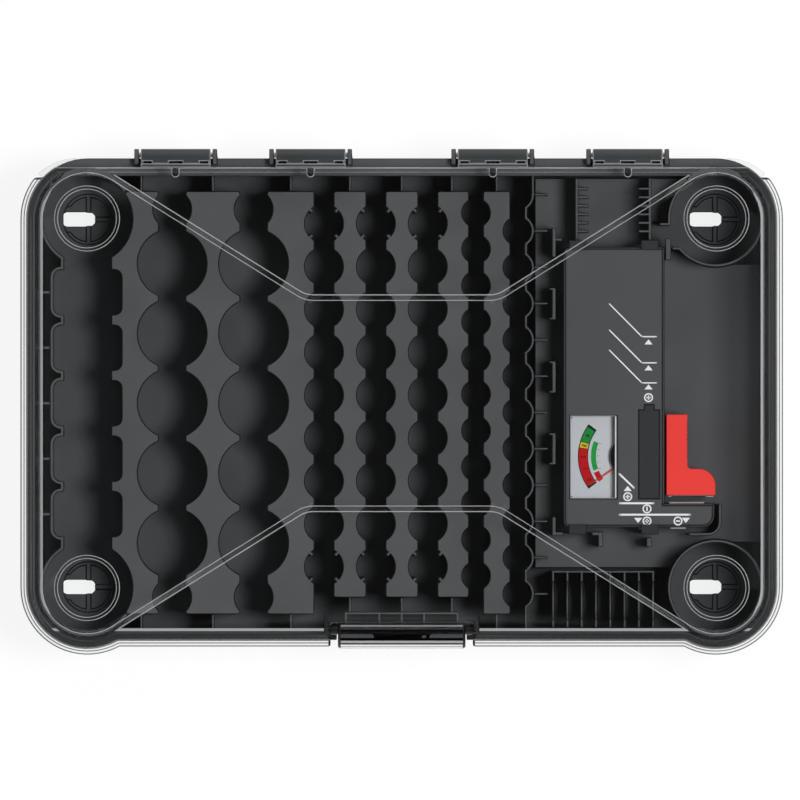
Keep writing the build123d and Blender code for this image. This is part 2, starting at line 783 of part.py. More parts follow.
# ---- tester
def tester_plan(inset):
    r = max(tester_corner - inset, 0.4)
    body = rect(tester_x0 + inset, tester_x1 - inset, tester_y0 + inset, tester_y1 - inset)
    body += rect(tester_x0 + inset, tester_x1 + anvil_reach - inset, tester_y0 + inset, anvil_y1 - inset)
    left = near_vertices(body, [(tester_x0 + inset, tester_y0 + inset)])
    body = fillet(left, r)
    right = near_vertices(body, [(tester_x1 + anvil_reach - inset, tester_y0 + inset)])
    body = fillet(right, anvil_corner - inset)
    top = near_vertices(body, [(tester_x0 + inset, tester_y1 - inset)])
    return chamfer(top, 1.6 - inset / 2)


boss_spots = [(tester_x0 + 6, tester_y1 - 7), (tester_x1 - 8, tester_y1 - 7), (tester_x0 + 6, tester_y0 + 5.2)]
boss_r = 2.6
screw_r = 1.0
screw_head_r = 2.0
key_z0 = tester_split_z - slider_key_height / 2
key_z1 = tester_split_z + slider_key_height / 2
slider_y0 = anvil_y1 + slider_rest
slider_y1 = slider_y0 + slider_length
key_y0 = slider_y0 + 6
key_y1 = key_y0 + slider_key_length


def key_slot():
    """Slot in the tester's side that the arm's key runs in."""
    return slab(tester_x1 - 2 * tester_wall, tester_x1 + 1, key_y0 - 1, key_y1 + slider_travel + 1,
                key_z0 - key_play, key_z1 + key_play)


def make_tester_shells():
    inside = tester_plan(tester_wall)
    front = prism(tester_plan(0), tester_split_z, tester_z1)
    top_edges = front.edges().filter_by_position(Axis.Z, tester_z1 - 0.01, tester_z1 + 0.01)
    front = chamfer(top_edges, tester_edge)
    front -= prism(inside, tester_split_z, tester_z1 - tester_wall)
    for x, y in boss_spots:
        front += post(x, y, boss_r, tester_split_z, tester_z1 - tester_wall / 2)
        front -= post(x, y, screw_r, tester_split_z, tester_z1 - tester_wall - 1)
    front -= slab(window_x0, window_x1, window_y0, window_y1, tester_split_z, tester_z1 + 1)
    cell_x0 = tester_x1 - cell_mark_from_right
    cell_y1 = window_y1 + cell_mark_rise
    cap_x0 = cell_x0 + (cell_mark_width - cell_cap_width) / 2
    mark_z = tester_z1 - cell_mark_depth
    front -= slab(cell_x0, cell_x0 + cell_mark_width, window_y0, cell_y1, mark_z, tester_z1 + 1)
    front -= slab(cap_x0, cap_x0 + cell_cap_width, cell_y1 - 0.1, cell_y1 + cell_cap_height, mark_z, tester_z1 + 1)
    save("tester_front_shell", front - key_slot())

    rear = prism(tester_plan(0), shelf_z, tester_split_z)
    rear -= prism(inside, shelf_z + tester_wall, tester_split_z)
    for x, y in boss_spots:
        rear += post(x, y, boss_r, shelf_z + tester_wall / 2, tester_split_z)
        rear -= post(x, y, screw_r + 0.15, shelf_z - 1, tester_split_z + 1)
        rear -= post(x, y, screw_head_r + 0.2, shelf_z - 1, shelf_z + 1.5)
    for x in (board_x0 + 3, board_x1 - 3):
        for y in (board_y0 + 3, board_y1 - 3):
            rear += post(x, y, 1.5, shelf_z + tester_wall / 2, board_z)
    save("tester_rear_shell", rear - key_slot())

    screws = []
    for x, y in boss_spots:
        screw = post(x, y, screw_head_r, shelf_z + 0.2, shelf_z + 1.5)
        screw += post(x, y, screw_r, shelf_z + 1, tester_split_z + 7)
        screws.append(screw - slab(x - 1.3, x + 1.3, y - 0.25, y + 0.25, shelf_z, shelf_z + 0.8))
    save("tester_screws", Compound(children=screws))


board_x0, board_x1 = tester_x0 + 4, tester_x1 - 6
board_y0, board_y1 = window_y1 + board_gap, tester_y1 - board_from_top
board_z = shelf_z + tester_wall + 2


def make_load_board():
    save("load_board", slab(board_x0, board_x1, board_y0, board_y1, board_z, board_z + 1.4))
    made = []
    for i in range(3):
        y = board_y0 + 8 + 8 * i
        body_z = board_z + 1.4 + 1.3
        made.append(rod(board_x0 + 9, board_x0 + 16, y, body_z, 1.3))
    save("load_resistors", Compound(children=made))


def slider_plan():
    x0 = tester_x1 + slider_gap
    x1 = x0 + slider_reach
    y0, y1 = slider_y0, slider_y1
    foot_y = y0 + slider_foot
    plan = rect(x0, x0 + slider_bar, y0, y1) + rect(x0, x1, y0, foot_y)
    plan = fillet(near_vertices(plan, [(x1, foot_y)]), slider_round)
    return fillet(near_vertices(plan, [(x0 + slider_bar, foot_y)]), slider_inner_round)


def make_slider():
    x0 = tester_x1 + slider_gap
    z0 = shelf_z + slider_clear
    z1 = z0 + slider_thickness
    arm = prism(slider_plan(), z0, z1)
    grips = int((slider_length - slider_foot - 6) / grip_pitch)
    for i in range(grips):
        arm -= post(x0 + slider_bar + 0.1, slider_y1 - 3 - i * grip_pitch, grip_groove, z0 - 1, z1 + 1)
    inner = tester_x1 - tester_wall - key_play
    arm += slab(inner - slider_key_flange, x0 + 1, key_y0, key_y1, key_z0, key_z1)
    middle = (key_z0 + key_z1) / 2
    arm += slab(inner - slider_key_flange, inner, key_y0, key_y1,
                middle - slider_flange_height / 2, middle + slider_flange_height / 2)
    save("slider_arm", arm)
    mid_z = (z0 + z1) / 2
    contact = slab(x0 + 0.8, x0 + slider_reach - 0.9, slider_y0 - contact_thickness, slider_y0,
                   mid_z - contact_height / 2, mid_z + contact_height / 2)
    save("slider_contact", contact)


def make_fixed_contacts():
    z0 = shelf_z + slider_clear + (slider_thickness - contact_height) / 2
    z1 = z0 + contact_height
    save("anvil_contact", slab(tester_x1 + 2, tester_x1 + 15.6, anvil_y1, anvil_y1 + contact_thickness, z0, z1))
    pads = []
    for x in (tester_x1 - 10.1, tester_x1 + 2.5):
        pads.append(slab(x, x + 5.9, tester_y0 - contact_thickness, tester_y0, z0, z1))
    save("square_cell_contacts", Compound(children=pads))


# ---- meter
def make_meter():
    x1 = tester_x1 - tester_wall - key_play - slider_key_flange - 0.5
    x0 = tester_x0 + tester_wall + 0.4
    y0, y1 = window_y0 - 0.8, window_y1 + 0.8
    z0 = shelf_z + tester_wall
    well_z = dial_z - dial_thickness - magnet_height - 2
    frame = slab(x0, x1, y0, y1, z0, dial_z - dial_thickness)
    frame -= post(dial_x, dial_y, magnet_r + 0.05, well_z, dial_z)
    frame -= post(dial_x, dial_y, spindle_r + spindle_play, well_z - 1, dial_z)
    save("meter_frame", frame)
    ring = post(dial_x, dial_y, magnet_r, well_z, well_z + magnet_height)
    save("meter_magnet", ring - post(dial_x, dial_y, magnet_bore_r, well_z, well_z + magnet_height))
    dial = slab(x0, x1, y0, y1, dial_z - dial_thickness, dial_z)
    save("meter_dial", dial - post(dial_x, dial_y, 3.2, dial_z - 1, dial_z + 1))

    cover_z = dial_z + 2.2
    bridge = post(dial_x, dial_y, hub_r, cover_z, cover_z + 0.8)
    bridge += slab(dial_x - 2, dial_x + 2, dial_y - 13.5, dial_y + 13.5, cover_z, cover_z + 0.8)
    for y in (dial_y - 13.5, dial_y + 11):
        bridge += slab(dial_x - 2, dial_x + 2, y, y + 2.5, dial_z, cover_z)
    bridge -= post(dial_x, dial_y, spindle_r + spindle_play, cover_z - 1, cover_z + 0.5)
    save("meter_bridge", bridge)

    coil = post(dial_x, dial_y, spindle_r, well_z - 0.8, cover_z + 0.3)
    coil += slab(dial_x - 3.4, dial_x + 3.4, dial_y - 1, dial_y + 1, well_z + 1, well_z + magnet_height - 1)
    save("meter_coil", coil)
    pointer = post(0, 0, 1.8, dial_z + 1, dial_z + 1.4)
    pointer += slab(0, needle_length, -needle_width / 2, needle_width / 2, dial_z + 1, dial_z + 1.4)
    pointer -= post(0, 0, spindle_r, dial_z, dial_z + 2)
    save("meter_needle", Pos(dial_x, dial_y) * Rot(0, 0, needle_rest_angle) * pointer)

    top = tester_z1 - tester_wall
    grow = 1.0
    lens = slab(window_x0 - grow + 0.3, window_x1 + grow, window_y0 - grow, window_y1 + grow, top - lens_flange, top)
    play = 0.1
    lens += slab(window_x0 + play, window_x1 - play, window_y0 + play, window_y1 - play, top, top + lens_thickness)
    save("meter_window", lens)


# ---- lid
def panel_plan(grow):
    """The raised panel: broad at both ends, narrow in the middle, a lobe about each corner."""
    side = cup_x + lobe_r
    a = math.radians(waist_angle)
    peak = cup_y + (lobe_r + lobe_r * math.sin(a)) / math.cos(a)
    waist_x = side - (peak - waist_half) / math.tan(a)
    points = [(-side, peak), (-waist_x, waist_half), (waist_x, waist_half), (side, peak)]
    points += [(x, -y) for x, y in reversed(points)]
    round_r = [lobe_r, waist_r, waist_r, lobe_r]
    outline = FilletPolyline(*points, radius=round_r + round_r, close=True)
    plan = make_face(outline)
    return offset(plan, amount=grow, kind=Kind.ARC) if grow else plan


def panel_block(grow, z0, z1, slope):
    low = Pos(0, 0, z0) * panel_plan(grow + slope)
    high = Pos(0, 0, z1) * panel_plan(grow)
    return loft([low.faces()[0], high.faces()[0]], ruled=True)


def lid_lip():
    """Lip that overlaps the outside of the base's rim, round the sides and the front."""
    far = 2 * half_length
    outer = case_plan(-lip_gap - lip_wall)
    skirt = outer - case_plan(-lip_gap)
    shelf = outer - case_plan(0.2)
    shape = prism(shelf, lid_z0, lid_z0 + lip_height)
    shape += prism(skirt, base_height - lip_depth, lid_z0 + 0.1)
    end_y = cup_y + (corner_r + lip_gap) * math.sin(math.radians(lip_end_angle))
    shape -= slab(-far, far, end_y, far, 0, 2 * base_height)
    shape -= slab(-latch_bay_half, latch_bay_half, -far, bay_y, 0, 2 * base_height)
    return shape


def make_lid():
    outer = prism(lid_plan(0), lid_z0, lid_z1)
    top_edges = outer.edges().filter_by_position(Axis.Z, lid_z1 - 0.01, lid_z1 + 0.01)
    outer = fillet(top_edges, lid_edge)
    outer += panel_block(0, lid_z1, panel_z, panel_slope)
    outer += lid_lip()
    for x, y in cups:
        ring = post(x, y, ring_r + ring_width, panel_z, panel_z + ring_height)
        outer += ring - post(x, y, ring_r, panel_z, panel_z + ring_height)
    cavity = prism(lid_plan(lid_wall), lid_z0, lid_z1 - lid_wall)
    skin = lid_wall * 0.85
    cavity += panel_block(-skin, lid_z1 - lid_wall, panel_z - skin, panel_slope)
    lid = outer - cavity
    for side in (-1, 1):
        x = side * (latch_bay_half + lid_wall / 2)
        lid -= rod(x - lid_wall, x + lid_wall / 4 if side > 0 else x + lid_wall, latch_y, latch_z, latch_pin_r)
    save("lid_cover", lid)


def make_hinge_leaves():
    half = hinge_length / 2 - ear_width - leaf_play
    for i, x in enumerate(hinges_x, 1):
        x0, x1 = x - half, x + half
        leaf = rod(x0, x1, pin_y, pin_z, knuckle_r)
        leaf += slab(x0, x1, lid_rear_y, pin_y, pin_z - 0.6, pin_z + knuckle_r - 0.4)
        leaf += slab(x0, x1, lid_rear_y, lid_rear_y + leaf_thickness, base_height + 1, base_height + 1 + leaf_height)
        side = half - leaf_side_slot / 2 - leaf_slot_edge
        for mid, wide in ((-side, leaf_side_slot), (0, leaf_middle_slot), (side, leaf_side_slot)):
            leaf -= slab(x + mid - wide / 2, x + mid + wide / 2, lid_rear_y + leaf_thickness,
                         pin_y - knuckle_r, pin_z - 3, pin_z + knuckle_r + 1)
        leaf -= rod(x0 - 1, x1 + 1, pin_y, pin_z, hinge_pin_r + running_play)
        save(f"hinge_leaf_{i}", leaf)


# ---- latch
def make_latch():
    face = latch_face_y
    inner = face + latch_wall
    hook_z1 = catch_z0 - latch_hook_play
    hook_z0 = hook_z1 - latch_hook
    tail_z = hook_z0 - latch_tail
    top_z = latch_z + latch_knuckle_r
    outer = [(latch_y, top_z), (face + 2.6, top_z), (face + 0.8, top_z - 0.8), (face, top_z - 2.6),
             (face, tail_z + 0.8), (face + 0.6, tail_z), (face + 2.4, tail_z), (face + 2.4, tail_z + 1.6),
             (inner, tail_z + 2.2), (inner, hook_z0), (inner + latch_hook_reach, hook_z0 + 0.6),
             (inner + latch_hook_reach, hook_z1), (inner, hook_z1), (inner, top_z - 3.2),
             (inner + 1.6, top_z - latch_wall), (latch_y, top_z - latch_wall)]
    flap = side_prism(outer, -latch_half, latch_half)
    flap += rod(-latch_half, latch_half, latch_y, latch_z, latch_knuckle_r)
    flap -= rod(-latch_half - 1, latch_half + 1, latch_y, latch_z, latch_pin_r + running_play)
    save("latch_flap", flap)
    end = latch_bay_half + lid_wall - 0.6
    pin = rod(-end, end, latch_y, latch_z, latch_pin_r)
    for side in (-1, 1):
        x = side * (latch_bay_half + latch_half + 0.1) / 2
        wide = latch_bay_half - latch_half - 0.3
        pin += rod(x - wide / 2, x + wide / 2, latch_y, latch_z, latch_head_r)
    save("latch_pin", pin)


os.makedirs("parts", exist_ok=True)
make_base()
make_latch_bay_walls()
make_hinge_pins()
make_webs()
make_square_cell_wall()
make_wavy_wall()
make_end_ribs()
make_side_ribs()
make_cups()
make_shelf()
make_comb()
make_rack()
make_brackets()
make_clips()
make_tester_shells()
make_load_board()
make_slider()
make_fixed_contacts()
make_meter()
make_lid()
make_hinge_leaves()
make_latch()
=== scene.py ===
import json
import math

import bmesh
import bpy
from bpy.props import FloatProperty, FloatVectorProperty, IntProperty, PointerProperty
from bpy.types import Operator, Panel, PropertyGroup
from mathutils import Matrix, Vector

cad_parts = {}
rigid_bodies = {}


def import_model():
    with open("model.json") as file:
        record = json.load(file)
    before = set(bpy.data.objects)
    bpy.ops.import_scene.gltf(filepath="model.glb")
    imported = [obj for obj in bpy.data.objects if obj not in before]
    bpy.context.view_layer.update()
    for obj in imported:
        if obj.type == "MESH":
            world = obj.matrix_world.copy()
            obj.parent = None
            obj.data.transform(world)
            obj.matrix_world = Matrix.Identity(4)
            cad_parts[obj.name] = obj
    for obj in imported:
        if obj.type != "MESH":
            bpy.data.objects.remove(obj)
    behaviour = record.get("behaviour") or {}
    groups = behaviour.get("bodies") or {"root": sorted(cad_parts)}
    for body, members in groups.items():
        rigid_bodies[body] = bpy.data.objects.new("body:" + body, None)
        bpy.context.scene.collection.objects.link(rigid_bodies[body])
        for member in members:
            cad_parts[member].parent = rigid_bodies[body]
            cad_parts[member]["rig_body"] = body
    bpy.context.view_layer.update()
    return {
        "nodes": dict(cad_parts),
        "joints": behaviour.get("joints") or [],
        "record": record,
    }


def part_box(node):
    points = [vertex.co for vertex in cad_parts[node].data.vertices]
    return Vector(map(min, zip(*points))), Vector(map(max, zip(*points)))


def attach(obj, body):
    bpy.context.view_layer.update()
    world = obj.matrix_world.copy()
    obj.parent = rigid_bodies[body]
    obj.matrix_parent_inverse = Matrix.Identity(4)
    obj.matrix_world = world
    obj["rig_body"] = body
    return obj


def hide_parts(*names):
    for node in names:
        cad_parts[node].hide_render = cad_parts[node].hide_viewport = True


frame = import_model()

bl_info = {
    "name": "Battery case with tester",
    "blender": (4, 5, 0),
    "version": (1, 0, 0),
    "location": "View3D > Sidebar > Battery Case",
    "description": "Finishes, small parts, light and camera for a battery storage case",
    "category": "Object",
}

MM = 0.001
NODES = frame["nodes"]
SLOTS = {s["node"]: s["material_slot"] for s in frame["record"]["subparts"]}

# Places taken from the CAD frame, in metres
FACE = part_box("tester_front_shell")
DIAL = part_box("meter_dial")
PIVOT = next(j for j in frame["joints"] if j["name"] == "needle_hinge")["pos_m"]

# Places on the case and its lid, in millimetres from the middle
CUP = (123.7, 72.6)             # corner cups' centres
CORNER = 23.75                  # radius of the case's corners
RING = 13.4                     # radius that takes in a stacking ring and its edges
PANEL_HALF = (139.0, 84.0)      # half the length and width of the lid's flat top
RIM_HALF = (138.0, 86.0)        # past these, the top bends over into the sides
LID_REAR = 92.8                 # the lid's rear face
LATCH_BAY = 28.0                # half the width of the lid's bay for the latch
LIP_END = 88.8                  # where the lip is cut off, near the rear corners
LIP_TOP = 49.0                  # level under which the lid is all lip
FRONT_LINE = (-89.6, -88.5)     # the painted highlight line along the lid's front

# Camera: a long lens, since the photograph shows hardly any perspective
LENS = 1500                     # millimetres
SENSOR = 36                     # millimetres
VIEW_WIDTH = 0.315              # metres across the picture, at the height of the pockets' deck
DECK = 0.045
VIEW_CENTRE = (-0.00067, 0.00126)

HINGES = range(1, 5)
EDGE = 1                        # a rounded piece's finish for its edges, after its own at 0
FIRST_FLAT = 3                  # finishes from this one on are for faces that aren't smoothed


def linear(text):
    """An sRGB hex colour as linear red, green, blue and alpha."""
    parts = [int(text[i:i + 2], 16) / 255 for i in (0, 2, 4)]
    return [c / 12.92 if c <= 0.04045 else ((c + 0.055) / 1.055) ** 2.4 for c in parts] + [1.0]


class CaseSizes(PropertyGroup):
    """Small sizes that the CAD model leaves to the finish."""
    edge_round: FloatProperty(
        name="Edge round", description="Radius on moulded edges",
        default=0.35 * MM, min=0.0, subtype="DISTANCE", unit="LENGTH")
    ink: FloatProperty(
        name="Ink height", description="Thickness of printed marks",
        default=0.05 * MM, min=0.0, subtype="DISTANCE", unit="LENGTH")
    line: FloatProperty(
        name="Line width", description="Width of the printed lines",
        default=0.75 * MM, min=0.0, subtype="DISTANCE", unit="LENGTH")
    steps: IntProperty(
        name="Arc steps", description="Steps in each printed arc", default=28, min=4)


class CaseColours(PropertyGroup):
    """Colours a user may want to change."""
    case: FloatVectorProperty(
        name="Case", description="Outer moulding",
        subtype="COLOR", size=4, default=linear("454749"))
    deck: FloatVectorProperty(
        name="Pockets", description="Pocket moulding",
        subtype="COLOR", size=4, default=linear("4e5052"))
    tester: FloatVectorProperty(
        name="Tester", description="Tester shells",
        subtype="COLOR", size=4, default=linear("4a4c4e"))
    arm: FloatVectorProperty(
        name="Arm", description="Sliding arm",
        subtype="COLOR", size=4, default=linear("ec423c"))
    ink: FloatVectorProperty(
        name="Ink", description="Printed marks",
        subtype="COLOR", size=4, default=linear("e9ebed"))


# ---- materials
def add(tree, kind, values=None, links=None, **settings):
    """Adds a node with its settings, socket values and incoming links."""
    node = tree.nodes.new(kind)
    for key, value in settings.items():
        setattr(node, key, value)
    for socket, value in (values or {}).items():
        node.inputs[socket].default_value = value
    for socket, source in (links or {}).items():
        tree.links.new(source, node.inputs[socket])
    return node


def new_material(name):
    """An empty material, its node tree and the coordinates that its patterns read."""
    material = bpy.data.materials.new(name)
    material.use_nodes = True
    tree = material.node_tree
    tree.nodes.clear()
    return material, tree, add(tree, "ShaderNodeTexCoord").outputs["Object"]


def finish(tree, shader):
    add(tree, "ShaderNodeOutputMaterial", links={"Surface": shader})


def moulded(name, colour, roughness=0.45, grain=0.35, depth=0.012, mottle=0.10):
    """Injection moulded plastic: fine spark-eroded grain, faint flow mottling, uneven gloss.

    The grain's size and depth are in millimetres.
    """
    material, tree, place = new_material(name)
    fine = add(tree, "ShaderNodeTexNoise",
               {"Scale": 1 / (grain * MM), "Detail": 3.0, "Roughness": 0.6}, {"Vector": place})
    broad = add(tree, "ShaderNodeTexNoise",
                {"Scale": 1 / (28 * MM), "Detail": 2.0}, {"Vector": place})
    tone = add(tree, "ShaderNodeMapRange",
               {"From Min": 0.3, "From Max": 0.7, "To Min": 1 - mottle, "To Max": 1 + mottle},
               {"Value": broad.outputs["Fac"]})
    base = add(tree, "ShaderNodeVectorMath",
               {0: colour[:3]}, {1: tone.outputs["Result"]}, operation="MULTIPLY")
    gloss = add(tree, "ShaderNodeMapRange",
                {"From Min": 0.25, "From Max": 0.75,
                 "To Min": roughness - 0.06, "To Max": roughness + 0.06},
                {"Value": fine.outputs["Fac"]})
    bump = add(tree, "ShaderNodeBump",
               {"Strength": 0.35, "Distance": depth * MM}, {"Height": fine.outputs["Fac"]})
    shader = add(tree, "ShaderNodeBsdfPrincipled", {"IOR": 1.5},
                 {"Base Color": base.outputs["Vector"], "Roughness": gloss.outputs["Result"],
                  "Normal": bump.outputs["Normal"]})
    finish(tree, shader.outputs["BSDF"])
    return material


def thin_clear(name, tint=(0.985, 0.988, 0.99, 1.0)):
    """Clear moulded sheet: too thin to bend what is seen through it, and glossy at its edges."""
    material, tree, place = new_material(name)
    scuffs = add(tree, "ShaderNodeTexNoise",
                 {"Scale": 1 / (6 * MM), "Detail": 4.0}, {"Vector": place})
    gloss = add(tree, "ShaderNodeMapRange",
                {"From Min": 0.45, "From Max": 0.8, "To Min": 0.03, "To Max": 0.11},
                {"Value": scuffs.outputs["Fac"]})
    through = add(tree, "ShaderNodeBsdfTransparent", {"Color": tint})
    mirror = add(tree, "ShaderNodeBsdfPrincipled",
                 {"Base Color": linear("f4f6f8"), "Metallic": 1.0},
                 {"Roughness": gloss.outputs["Result"]})
    # mirrors 4% head on and more as it turns away, the same from both sides of the sheet
    turned = add(tree, "ShaderNodeLayerWeight", {"Blend": 0.5})
    steep = add(tree, "ShaderNodeMath",
                {1: 5.0}, {0: turned.outputs["Facing"]}, operation="POWER")
    share = add(tree, "ShaderNodeMapRange",
                {"To Min": 0.04, "To Max": 0.9}, {"Value": steep.outputs["Value"]})
    mix = add(tree, "ShaderNodeMixShader", None,
              {0: share.outputs["Result"], 1: through.outputs["BSDF"],
               2: mirror.outputs["BSDF"]})
    finish(tree, mix.outputs["Shader"])
    return material


def frosted(name, colour, open_share):
    """Painted highlight and painted shade for the edges of a clear moulding: a flat colour partly
    let through, pale lines on dark and grey ones on white.
    """
    material, tree, place = new_material(name)
    grain = add(tree, "ShaderNodeTexNoise",
                {"Scale": 1 / (0.8 * MM), "Detail": 3.0}, {"Vector": place})
    gloss = add(tree, "ShaderNodeMapRange",
                {"To Min": 0.2, "To Max": 0.45}, {"Value": grain.outputs["Fac"]})
    body = add(tree, "ShaderNodeBsdfPrincipled",
               {"Base Color": colour}, {"Roughness": gloss.outputs["Result"]})
    through = add(tree, "ShaderNodeBsdfTransparent", {"Color": (0.98, 0.985, 0.99, 1.0)})
    mix = add(tree, "ShaderNodeMixShader", {0: open_share},
              {1: body.outputs["BSDF"], 2: through.outputs["BSDF"]})
    finish(tree, mix.outputs["Shader"])
    return material


def metal(name, colour, roughness=0.3, metallic=1.0):
    """Metal strip or wire: drawn or rolled, so its fine marks run one way."""
    material, tree, place = new_material(name)
    run = add(tree, "ShaderNodeMapping", {"Scale": (1, 12, 12)}, {"Vector": place})
    lines = add(tree, "ShaderNodeTexNoise",
                {"Scale": 1 / (1.2 * MM), "Detail": 3.0}, {"Vector": run.outputs["Vector"]})
    gloss = add(tree, "ShaderNodeMapRange",
                {"To Min": roughness - 0.12, "To Max": roughness + 0.12},
                {"Value": lines.outputs["Fac"]})
    bump = add(tree, "ShaderNodeBump",
               {"Strength": 0.2, "Distance": 0.01 * MM}, {"Height": lines.outputs["Fac"]})
    shader = add(tree, "ShaderNodeBsdfPrincipled", {"Base Color": colour, "Metallic": metallic},
                 {"Roughness": gloss.outputs["Result"], "Normal": bump.outputs["Normal"]})
    finish(tree, shader.outputs["BSDF"])
    return material


def printed(name, colour, roughness=0.55, wear=0.06):
    """Pad printed ink: opaque, a little uneven where the pad lifted."""
    material, tree, place = new_material(name)
    specks = add(tree, "ShaderNodeTexNoise",
                 {"Scale": 1 / (0.4 * MM), "Detail": 4.0}, {"Vector": place})
    tone = add(tree, "ShaderNodeMapRange",
               {"From Min": 0.3, "From Max": 0.7, "To Min": 1 - wear, "To Max": 1.0},
               {"Value": specks.outputs["Fac"]})
    base = add(tree, "ShaderNodeVectorMath",
               {0: colour[:3]}, {1: tone.outputs["Result"]}, operation="MULTIPLY")
    shader = add(tree, "ShaderNodeBsdfPrincipled",
                 {"Roughness": roughness}, {"Base Color": base.outputs["Vector"]})
    finish(tree, shader.outputs["BSDF"])
    return material


def make_finishes(colours):
    """One finish for each slot of the record, and those of the edges and the inks."""
    return {
        # polypropylene case from a spark-eroded mould: satin, nearly black
        "case_black": moulded("polypropylene_black", colours.case, 0.5, 0.45, 0.02),
        # the same plastic inside, from a plainer mould: greyer and flatter
        "tray_grey": moulded("polypropylene_tray", colours.deck, 0.55, 0.4, 0.015),
        "clip_black": moulded("polypropylene_clip", linear("2c2d2f"), 0.5),
        # rounded moulded edges, darker and glossier than the grained faces: the dark is painted
        # shade, an outline along each edge
        "edge_painted_shade": moulded("polypropylene_edge_painted_shade", linear("0c0d0e"), 0.42, 0.8, 0.004),
        # ABS tester housing: tight even grain
        "tester_grey": moulded("abs_tester", colours.tester, 0.5, 0.3, 0.012, 0.05),
        # ABS meter body: darker and glossier than the housing
        "meter_black": moulded("abs_meter", linear("0c0d0e"), 0.4),
        # polypropylene hinge leaves, with a pale painted highlight on their edges
        "leaf_black": moulded("polypropylene_leaf", linear("36393b"), 0.42, 0.45),
        "leaf_painted_highlight": moulded("polypropylene_leaf_painted_highlight", linear("85888a"), 0.35, 0.8, 0.004),
        # acetal pin and stops: black and slippery
        "pin_black": moulded("acetal_pin", linear("0b0b0c"), 0.35),
        # polycarbonate lid and latch: water clear, with pale painted highlights on their edges
        "lid_clear": thin_clear("polycarbonate_lid"),
        "lid_painted_highlight": frosted("polycarbonate_painted_highlight", linear("a9abad"), 0.25),
        # painted shade on the lid's edges: grey where only light is behind them, and nearly black
        # on the thick hook
        "lip_painted_shade_line": frosted("polycarbonate_lip_painted_shade_line", linear("66696c"), 0.1),
        "hook_painted_shade": frosted("polycarbonate_hook_painted_shade", linear("101112"), 0.05),
        # rounded rim of the lid: a dark tint, painted shade for the light that the rim bends
        # sideways, so the case behind it looks darker
        "lid_bend_painted_shade": thin_clear("polycarbonate_bend_painted_shade", (0.27, 0.275, 0.28, 1.0)),
        # the latch is thicker than the lid, so it takes a little more light away
        "latch_clear": thin_clear("polycarbonate_latch", (0.95, 0.955, 0.96, 1.0)),
        # polystyrene meter window: clear and glossy
        "window": thin_clear("polystyrene_window"),
        # pigmented polystyrene arm: satin and saturated, its rounded edges a darker red of painted
        # shade
        "arm_red": moulded("polystyrene_red", colours.arm, 0.4, 0.3, 0.01, 0.03),
        "arm_edge_painted_shade": moulded("polystyrene_red_edge_painted_shade", linear("b52b27"), 0.3, 0.8, 0.004),
        # enamelled needle, and a coated aluminium dial plate: even and a little glossy
        "needle_red": printed("enamel_needle", linear("d4473f"), 0.4),
        "dial": printed("enamel_dial", linear("d0d3d7"), 0.45, 0.03),
        # nickel plated strip gone dull, and drawn, zinc plated and wound metals inside
        "contact": metal("nickel_strip", linear("d6d6d4"), 0.45, 0.5),
        "pin_steel": metal("steel_wire", linear("a8a9ab")),
        "screw_steel": metal("zinc_screw", linear("b0b2b5"), 0.35),
        "magnet": metal("ferrite_magnet", linear("58595c"), 0.45),
        "copper": metal("enamelled_copper", linear("c27a45")),
        # paper phenolic board and enamelled resistors: matte and brown
        "board": moulded("phenolic_board", linear("9a6a38"), 0.6, 0.8),
        "resistor": moulded("resistor_enamel", linear("bda681"), 0.5),
        # pad printing inks: flat colours on the tester and its dial
        "cell_mark": printed("ink_cell_mark", linear("2f3031"), 0.5, 0.1),
        "ink_white": printed("ink_white", colours.ink, 0.5, 0.05),
        "ink_black": printed("ink_black", linear("151515")),
        "ink_red": printed("ink_red", linear("c9151d")),
        "ink_yellow": printed("ink_yellow", linear("dcc033")),
        "ink_green": printed("ink_green", linear("1f8f3a")),
        "ink_light_green": printed("ink_light_green", linear("22a044")),
    }


FINISHES = {}


def finish_of(name):
    """The finish with this name; all of them are made at the first call."""
    if not FINISHES:
        FINISHES.update(make_finishes(bpy.context.scene.case_colours))
    return FINISHES[name]


def paper_floor():
    """White paper: the camera sees it as white, and it keeps the object's soft shadow."""
    material, tree, place = new_material("white_paper")
    fibre = add(tree, "ShaderNodeTexNoise",
                {"Scale": 1 / (2 * MM), "Detail": 3.0}, {"Vector": place})
    bump = add(tree, "ShaderNodeBump",
               {"Strength": 0.05, "Distance": 0.05 * MM}, {"Height": fibre.outputs["Fac"]})
    matte = add(tree, "ShaderNodeBsdfPrincipled",
                {"Base Color": linear("f4f5f6"), "Roughness": 0.9, "Specular IOR Level": 0.2},
                {"Normal": bump.outputs["Normal"]})
    glow = add(tree, "ShaderNodeEmission", {"Color": (1.0, 1.0, 1.0, 1.0), "Strength": 1.0})
    path = add(tree, "ShaderNodeLightPath")
    far = add(tree, "ShaderNodeVectorMath", None, {0: place}, operation="LENGTH")
    near = add(tree, "ShaderNodeMapRange",
               {"From Min": 0.3, "From Max": 0.5, "To Min": 1.0, "To Max": 0.0},
               {"Value": far.outputs["Value"]})
    bent = add(tree, "ShaderNodeMath", None,
               {0: path.outputs["Is Transmission Ray"], 1: near.outputs["Result"]},
               operation="MULTIPLY")
    seen = add(tree, "ShaderNodeMath", None,
               {0: path.outputs["Is Camera Ray"], 1: bent.outputs["Value"]},
               operation="MAXIMUM")
    share = add(tree, "ShaderNodeMath", {1: 0.9}, {0: seen.outputs["Value"]},
                operation="MULTIPLY")
    mix = add(tree, "ShaderNodeMixShader", None,
              {0: share.outputs["Value"], 1: matte.outputs["BSDF"],
               2: glow.outputs["Emission"]})
    finish(tree, mix.outputs["Shader"])
    return material


